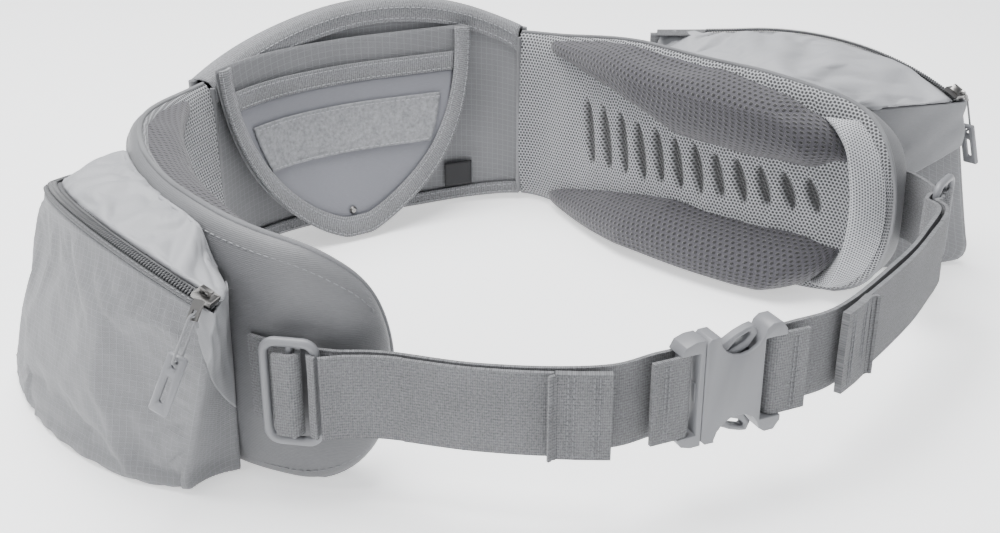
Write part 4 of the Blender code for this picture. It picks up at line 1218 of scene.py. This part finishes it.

# %% [markdown]
# The top panel slopes from the wing to the zip. It is lighter, smooth cloth with soft creases,
# and at its front it folds down to a point.

# %% The top panels


def top_panel(side, columns=110, rows=24):
    """Make a pocket's top panel, and the seam that holds it to the wing."""
    pocket = POCKETS[side]

    def place(u, v):
        share = blend(0.012, 0.985, u)
        rim = pocket.rim(share)
        t = pocket.wing_t(share)
        wing_top = wing_heights(side, t)[1]
        start = pocket.wing_point(t, 0.9 - 3.2 * ease(min(share, 1 - share) / 0.2), wing_top - 4.5)
        start.z = blend(min(start.z, rim.z + 3.5), start.z, ease(min(share / 0.1, (1 - share) / 0.16)))
        out, up = pocket.mouth_frame(share)
        reach = 7.6 * ease(min(share, 1 - share) / 0.1)
        end = rim - out * reach + up * 0.2
        crown = 5.0 * sin(pi * share) * sin(pi * v) ** 0.8
        crease = 0.7 * sin(share * 31 + v * 4.5) * sin(pi * v)
        crease += 0.45 * sin(share * 67 - v * 7) * sin(pi * v) ** 2
        return start.lerp(end, v) + Vector((0, 0, crown + crease))

    made = panel(f"pocket_top_cloth_{side}", columns, rows, place, TOP_CLOTH, flip=side == "left")
    fill_out(made, border(columns, rows), 0.3, 3.0, 0.03)
    wall = made.modifiers.new("thickness", "SOLIDIFY")
    wall.thickness = 0.8 * MM
    wall.offset = -1.0
    run_modifiers(made)
    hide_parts(f"pocket_top_{side}")
    tuple(place(0.5, 0.0) * MM)
    tuple(place(0.5, 1.0) * MM)
    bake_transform(made)
    seam = tube(f"pocket_top_seam_{side}", [place(i / 60, 0.03) for i in range(61)], 1.1, TOP_CLOTH)
    put(seam, "belt", "coated_fabric")
    return made


def front_gusset(side, columns=40, rows=40):
    """Fold the light cloth down over the pocket's front, as a triangle that ends in a point, in a darker
    copy that paints shade on the fold.
    """
    pocket = POCKETS[side]

    def place(u, v):
        share = blend(0.16, 0.004, u)
        down = v * blend(0.1, 0.66, u ** 0.8)
        point = pocket.wall(share, down)
        t = pocket.wing_t(share)
        edge = sin(pi * u) ** 0.5 * (1 - v ** 4)
        crease = 0.8 * sin(u * 9 + v * 7) * edge + 0.5 * sin(u * 17 - v * 12) * edge
        lift = 1.5 + 2.2 * edge + crease
        lap = pocket.outward(t) * 0.6 * (1 - u) - pocket.rearward(t) * lift
        return point + lap + Vector((0, 0, 1.8 * (1 - v)))

    made = panel(f"pocket_gusset_{side}", columns, rows, place, GUSSET_PAINTED_SHADE_CLOTH, thick=0.8,
                 flip=side == "right")
    return put(made, "belt", "coated_fabric")


for side in ("left", "right"):
    front_gusset(side)
    made = top_panel(side)
    print(made.name, len(made.data.polygons), "faces")

# %% [markdown]
# ## The zips
# Each tape is split in two: the outer half is sewn to the bag and the inner half to the top
# panel. Each carries a row of coil, and the two rows mesh like fingers.

# %% Tapes and coils


def zip_strip(name, side, first, last, lift, begin=FRONT_SHARE - 0.004, finish=TAPE_END):
    """Sweep a strip of tape along the mouth, between two distances outwards."""
    pocket = POCKETS[side]

    def place(u, v):
        share = blend(begin, finish, u)
        out, up = pocket.mouth_frame(share)
        o = blend(first, last, v)
        return pocket.rim(share) + out * o + up * (lift - 0.25 * abs(o + 2.9) * 0.4)

    return panel(name, 90, 6, place, ZIP_TAPE, thick=0.7, offset=0.0, flip=side == "left")


def pill(long, wide, high):
    """Return a small rounded block as points and faces: one tooth of a coil."""
    points, faces = [], []
    for x, size in ((-0.5, 0.6), (-0.34, 1.0), (0.34, 1.0), (0.5, 0.6)):
        for y, z in ((-0.5, -0.2), (-0.3, -0.5), (0.3, -0.5), (0.5, -0.2),
                     (0.5, 0.2), (0.3, 0.5), (-0.3, 0.5), (-0.5, 0.2)):
            points.append(Vector((x * long, y * wide * size, z * high * size)))
    for i in range(3):
        for k in range(8):
            a, b = i * 8 + k, i * 8 + (k + 1) % 8
            faces.append((a, b, b + 8, a + 8))
    faces.append(tuple(reversed(range(8))))
    faces.append(tuple(range(24, 32)))
    return points, faces


def coil_row(name, side, o, shift):
    """Make one row of coil teeth at a distance outwards, starting after a shift."""
    pocket = POCKETS[side]
    line = []
    for i in range(400):
        share = blend(FRONT_SHARE, TAPE_END - 0.005, i / 399)
        line.append((share, pocket.rim(share)))
    placed, left = [], shift
    for (share, a), (_, b) in zip(line, line[1:]):
        length = (b - a).length
        while left <= length:
            out, up = pocket.mouth_frame(share)
            place = a.lerp(b, left / length) + out * o + up * 0.95
            placed.append(along_matrix(place, out, up))
            left += 1.4
        left -= length
    return copies(name, pill(2.5, 0.95, 1.3), placed, COIL)


for side in ("left", "right"):
    outer_tape = zip_strip(f"zip_tape_outer_{side}", side, 1.2, -1.4, 0.1)
    put(outer_tape, "belt", "binding", f"zip_tape_{side}")
    inner_tape = zip_strip(f"zip_tape_inner_{side}", side, -4.5, -9.0, 0.1)
    put(inner_tape, f"pocket_top_{side}", "binding")
    put(zip_strip(f"zip_end_tab_{side}", side, 1.2, -9.0, 0.35, TAPE_END - 0.01, 0.992), "belt", "binding")
    put(coil_row(f"zip_coil_outer_{side}", side, -2.0, 0.35), "belt", "zip_coil", f"zip_coil_{side}")
    put(coil_row(f"zip_coil_inner_{side}", side, -3.7, 1.05), f"pocket_top_{side}", "zip_coil")
    pocket = POCKETS[side]
    line = []
    for i in range(120):
        share = blend(FRONT_SHARE, TAPE_END, i / 119)
        out, up = pocket.mouth_frame(share)
        line.append(pocket.rim(share) + out * 0.3 + up * 0.35)
    put(stitches(f"zip_stitches_{side}", [line], THREAD, 2.8, 2.0, 0.24), "belt", "binding")
    line = []
    for i in range(120):
        share = blend(FRONT_SHARE, TAPE_END, i / 119)
        out, up = pocket.mouth_frame(share)
        line.append(pocket.rim(share) - out * 7.2 + up * 0.5)
    sewn = stitches(f"zip_stitches_inner_{side}", [line], PALE_THREAD, 2.8, 2.0, 0.24)
    put(sewn, f"pocket_top_{side}", "binding")
print("zips made")

# %% [markdown]
# ## Pulls and hardware
# The buckle, the pulls and the sliders keep their CAD shapes, as copies with their points merged
# and their curves smoothed, so that moulded plastic catches the light in one soft sweep.

# %% Refined copies of the hard parts


def refined(node, paint, levels=0, angle=38):
    """Copy a CAD piece as a smooth one of its own, which stands in for it."""
    source = bpy.data.objects[node]
    data = source.data.copy()
    data.transform(source.matrix_world)
    made = bpy.data.objects.new(node + "_smooth", data)
    bpy.context.scene.collection.objects.link(made)
    choose(made)
    bpy.ops.object.mode_set(mode="EDIT")
    bpy.ops.mesh.select_all(action="SELECT")
    bpy.ops.mesh.remove_doubles(threshold=0.00001)
    bpy.ops.mesh.dissolve_limited(angle_limit=radians(1))
    bpy.ops.object.mode_set(mode="OBJECT")
    data.materials.clear()
    data.materials.append(paint)
    for polygon in data.polygons:
        polygon.material_index = 0
    bpy.ops.object.shade_smooth_by_angle(angle=radians(angle))
    return made


for node, body in (("buckle_socket", "belt"), ("buckle_plug", "plug"), ("buckle_lever_upper", "lever_upper"),
                   ("buckle_lever_lower", "lever_lower"), ("pull_grip_left", "pull_left"),
                   ("pull_grip_right", "pull_right")):
    put(refined(node, MOULDED), body, "moulded_plastic", node)
for side in ("left", "right"):
    put(refined(f"zip_slider_{side}", NICKEL), f"zip_slider_{side}", "nickel", f"zip_slider_{side}")
    put(refined(f"pull_tab_{side}", NICKEL), f"pull_{side}", "nickel", f"pull_tab_{side}")
    put(refined(f"pull_cord_{side}", CORD), f"pull_{side}", "pull_cord", f"pull_cord_{side}")
put(refined("flap_rivet", NICKEL), "flap", "nickel", "flap_rivet")
print("hard parts refined")

# %% [markdown]
# ## Webbing
# Each band is a ribbon with real thickness, swept along its own line, with a slightly rounded
# edge. Its cloth runs in ribs across the band. The lines repeat the routes of the straps round
# the bars of the adjusters and of the buckle.

# %% Routes of the straps
WEB_MID_Z, WEB_HALF, WRAP, WEB_THICK = 53, 18.9, 3.6, 1.9
ADJUSTER_PLACE = {"left": (-186, -11), "right": (173, 3)}
ADJUSTER_TURN = {"left": -37, "right": 28}
ADJUSTER_BAR_REACH = 11.5
BUCKLE_PLACE, BUCKLE_TURN = (-23.5, -84), -2
TAIL_LENGTH = {"left": 96, "right": 134}
TAIL_FOLD = 24
ANCHOR_ROUTE = {"left": (52,), "right": (44, 30, 14, 4)}
ANCHOR_LEAVE = {"left": 136, "right": 112}
STRAP_ROUTE = {"left": [(-150, -31), (-124, -54), (-100, -70), (-76, -80)],
               "right": [(152, -16), (128, -33), (100, -50), (68, -66), (34, -80)]}


def turned(degrees):
    return Vector((cos(radians(degrees)), sin(radians(degrees))))


def centred(point):
    return Vector(point) - CENTRE


def hook(centre, away, radius, first=90, last=-90):
    """Return an arc of webbing round a bar."""
    left = Vector((-away.y, away.x))
    angles = [radians(blend(first, last, i / 12)) for i in range(13)]
    return [centre - away * radius * cos(a) + left * radius * sin(a) for a in angles]


BUCKLE_AXIS = turned(BUCKLE_TURN)
PLUG_BAR = centred(BUCKLE_PLACE) - BUCKLE_AXIS * 23.0
SOCKET_BAR = centred(BUCKLE_PLACE) + BUCKLE_AXIS * 22.5


def strap_route(side):
    """Return a strap's way round its adjuster's bar, along, and round its buckle's bar."""
    along = turned(ADJUSTER_TURN[side])
    leave = along if side == "left" else -along
    bar = centred(ADJUSTER_PLACE[side]) + leave * ADJUSTER_BAR_REACH
    inner = 1 if side == "left" else -1
    buckle_bar, away = (PLUG_BAR, -BUCKLE_AXIS) if side == "left" else (SOCKET_BAR, BUCKLE_AXIS)
    left = Vector((-leave.y, leave.x)) * inner
    near = bar + leave * 7 + left * (WRAP - 0.6)
    end = buckle_bar + away * 9 + Vector((-BUCKLE_AXIS.y, BUCKLE_AXIS.x)) * WRAP
    middle = smooth_line([near, *[centred(p) for p in STRAP_ROUTE[side]], end], 10)
    start = hook(bar, leave, WRAP, -90 * inner, 90 * inner)
    finish = hook(buckle_bar, away, WRAP, -90 * inner, 90 * inner)
    return start, middle, finish, away


def measured(line):
    """Return how far along a line each of its points lies."""
    walked = [0.0]
    for a, b in zip(line, line[1:]):
        walked.append(walked[-1] + (b - a).length)
    return walked


def walk(line, first, last, step=1.6):
    """Return even points of a line between two distances along it."""
    walked = measured(line)
    count = max(int((last - first) / step), 2)
    points = []
    for i in range(count + 1):
        want = blend(first, last, i / count)
        k = min(max(bisect_right(walked, want) - 1, 0), len(line) - 2)
        share = (want - walked[k]) / max(walked[k + 1] - walked[k], 1e-6)
        points.append(line[k].lerp(line[k + 1], share))
    return points


def shifted(line, distance):
    """Return a plan line moved to its left."""
    moved = []
    for i, point in enumerate(line):
        along = (line[min(i + 1, len(line) - 1)] - line[max(i - 1, 0)]).normalized()
        moved.append(point + Vector((-along.y, along.x)) * distance)
    return moved


def band(name, line, half=WEB_HALF, thick=WEB_THICK, wander=0.35, start=0.0):
    """Sweep an upright ribbon of webbing along a plan line."""
    outer = shifted(line, 1.0)

    def place(u, v):
        x = u * (len(line) - 1)
        k = min(int(x), len(line) - 2)
        point = line[k].lerp(line[k + 1], x - k)
        off = outer[k].lerp(outer[k + 1], x - k) - point
        s = start + u * measured_length
        cup = 0.25 * (2 * v - 1) ** 2 + 0.2 * sin(s * 0.11 + 5 * v)
        point = point + off * cup * wander * 2
        edge = sin(s * 0.07 + start) * wander * 0.6
        return Vector((point.x, point.y, WEB_MID_Z + blend(-half, half, v) + edge))

    measured_length = measured(line)[-1]
    made = panel(name, len(line) - 1, 8, place, WEBBING, thick=thick)
    layer = made.data.uv_layers.active
    for loop in layer.data:
        loop.uv.x += start
    made.data.shade_smooth()
    choose(made)
    bpy.ops.object.shade_smooth_by_angle(angle=radians(50))
    return made


# %% [markdown]
# Each strap is two ribbons that meet without a gap: a short one round its adjuster and a long
# one that runs on to the buckle.

# %% The straps
for side in ("left", "right"):
    start, middle, finish, away = strap_route(side)
    returned = finish[-1] + away * 15
    line = walk([*start, *middle], 0.0, measured([*start, *middle])[-1])
    whole = [*line, *finish, returned]
    length = measured(whole)[-1]
    meet = 44.0
    near = walk(whole, 0.0, meet, 1.3)
    far = walk(whole, meet, length, 1.3)
    short = band(f"strap_near_{side}", near)
    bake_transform(short)
    long = band(f"strap_long_{side}", far, start=meet)
    if side == "left":
        bend_from = walk(whole, 0.0, TAIL_LENGTH[side] + TAIL_FOLD + 8, 1.3)[-1]
        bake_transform(long)
    else:
        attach(long, "belt")
    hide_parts(f"strap_{side}")
    inner = 1 if side == "left" else -1
    tail_line = shifted(walk(middle, 0.0, measured(middle)[-1]), -inner * (WRAP + 0.4))
    begin = start[0] + (middle[0] - start[-1]).normalized() * 1.4
    tail = walk([begin, *tail_line[2:]], 0.0, TAIL_LENGTH[side] - 0.6, 1.3)
    cut = 26
    tail_near = band(f"tail_near_{side}", tail[:cut + 1], wander=0.25)
    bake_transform(tail_near)
    tail_far = band(f"tail_far_{side}", tail[cut:], wander=0.25, start=cut * 1.3)
    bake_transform(tail_far)
    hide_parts(f"tail_{side}")
    print(side, "strap", round(length), "mm, tail", TAIL_LENGTH[side], "mm")

    along = (tail[-1] - tail[-2]).normalized()
    head = tail[-1] + along * 0.3
    outer = Vector((along.y, -along.x)) * inner
    first = head + outer * 1.1
    body = [first + along * x + outer * y for x, y in
            ((0, -0.1), (4, 0), (9, 0.2), (14, 0.1), (19, 0.0), (TAIL_FOLD - 0.6, -0.2))]
    body_line = walk(smooth_line(body, 8), 0, TAIL_FOLD - 1.4, 1.3)
    folded = band(f"tail_fold_{side}", body_line, half=19.4, thick=3.4, wander=0.3, start=120)
    lip = [first + along * x + outer * y for x, y in ((0.4, 1.2), (-1.2, 1.8), (-2.2, 2.8), (-1.6, 3.8))]
    lip_line = walk(smooth_line(lip, 6), 0, 4.2, 0.8)
    edge = band(f"tail_lip_{side}", lip_line, half=19.2, thick=1.6, wander=0.1, start=150)
    put(join(f"tail_fold_{side}", [folded, edge]), f"tail_end_{side}", "webbing", f"tail_end_{side}")
    rows = []
    for x in (5.2, 7.4, 15.5, 17.7):
        face = first + along * x + outer * 2.0
        rows.append([Vector((*face, WEB_MID_Z + blend(-17.5, 17.5, i / 20))) for i in range(21)])
    put(stitches(f"tail_stitches_{side}", rows, THREAD, 2.4, 1.9, 0.3), f"tail_end_{side}", "webbing")

# %% [markdown]
# The webbing is sewn to itself beside each bar of the buckle, with rows of close stitches. The
# anchors are the same webbing: they come out of the pocket's seam and loop through the adjuster.

# %% Loop seams and anchors
for side in ("left", "right"):
    axis = -BUCKLE_AXIS if side == "left" else BUCKLE_AXIS
    bar = PLUG_BAR if side == "left" else SOCKET_BAR
    normal = Vector((-BUCKLE_AXIS.y, BUCKLE_AXIS.x)) * -1
    rows = []
    for x in (7.4, 9.2):
        face = bar + axis * x + normal * (WRAP + 1.15)
        rows.append([Vector((*face, WEB_MID_Z + blend(-17, 17, i / 20))) for i in range(21)])
    sewn = stitches(f"loop_stitches_{side}", rows, THREAD, 2.4, 1.9, 0.3)
    put(sewn, "plug" if side == "left" else "belt", "webbing")

    route = []
    for t in ANCHOR_ROUTE[side]:
        route.append(BELT.at(wing_s(side, t), 13.0 * tip_growth(side, t) + 2.6, 0).xy)
    away = turned(ANCHOR_LEAVE[side])
    loop = hook(centred(ADJUSTER_PLACE[side]), away, WRAP)
    out = BELT.outward(wing_s(side, ANCHOR_ROUTE[side][-1]))
    if loop[0].dot(out) > loop[-1].dot(out):
        loop.reverse()
    curved = smooth_line([*route, loop[0]], 8)
    route_line = walk(curved, 0, measured(curved)[-1], 1.3)
    whole = [*route_line[:-1], *loop, loop[-1] + away * 6]
    anchor = band(f"anchor_band_{side}", whole, wander=0.1)
    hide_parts(f"anchor_webbing_{side}")
    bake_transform(anchor)
print("webbing made")
# %% [markdown]
# An adjuster is a rounded ladder of moulded plastic: a closed ring with one bar across its
# middle, which the webbing turns round. The ring is a tube, which gives its soft edges.

# %% The adjusters
for side in ("left", "right"):
    middle = centred(ADJUSTER_PLACE[side])
    along = turned(ADJUSTER_TURN[side])
    ring = []
    for corner, (x, z) in enumerate(((5.8, 17.8), (-5.8, 17.8), (-5.8, -17.8), (5.8, -17.8))):
        for k in range(7):
            angle = radians(corner * 90 + k * 15)
            turn = middle + along * (x + 5.1 * cos(angle))
            ring.append(Vector((*turn, WEB_MID_Z + z + 5.1 * sin(angle))))
    frame_loop = tube(f"adjuster_frame_{side}", ring, 2.05, MOULDED, closed=True, sides=4)
    bar_line = [Vector((*middle, WEB_MID_Z + z)) for z in (-22.5, -10, 10, 22.5)]
    bar = tube(f"adjuster_bar_{side}", bar_line, 1.5, MOULDED)
    made = join(f"adjuster_frame_{side}", [frame_loop, bar])
    put(made, f"adjuster_{side}", "moulded_plastic", f"adjuster_{side}")
print("adjusters made")
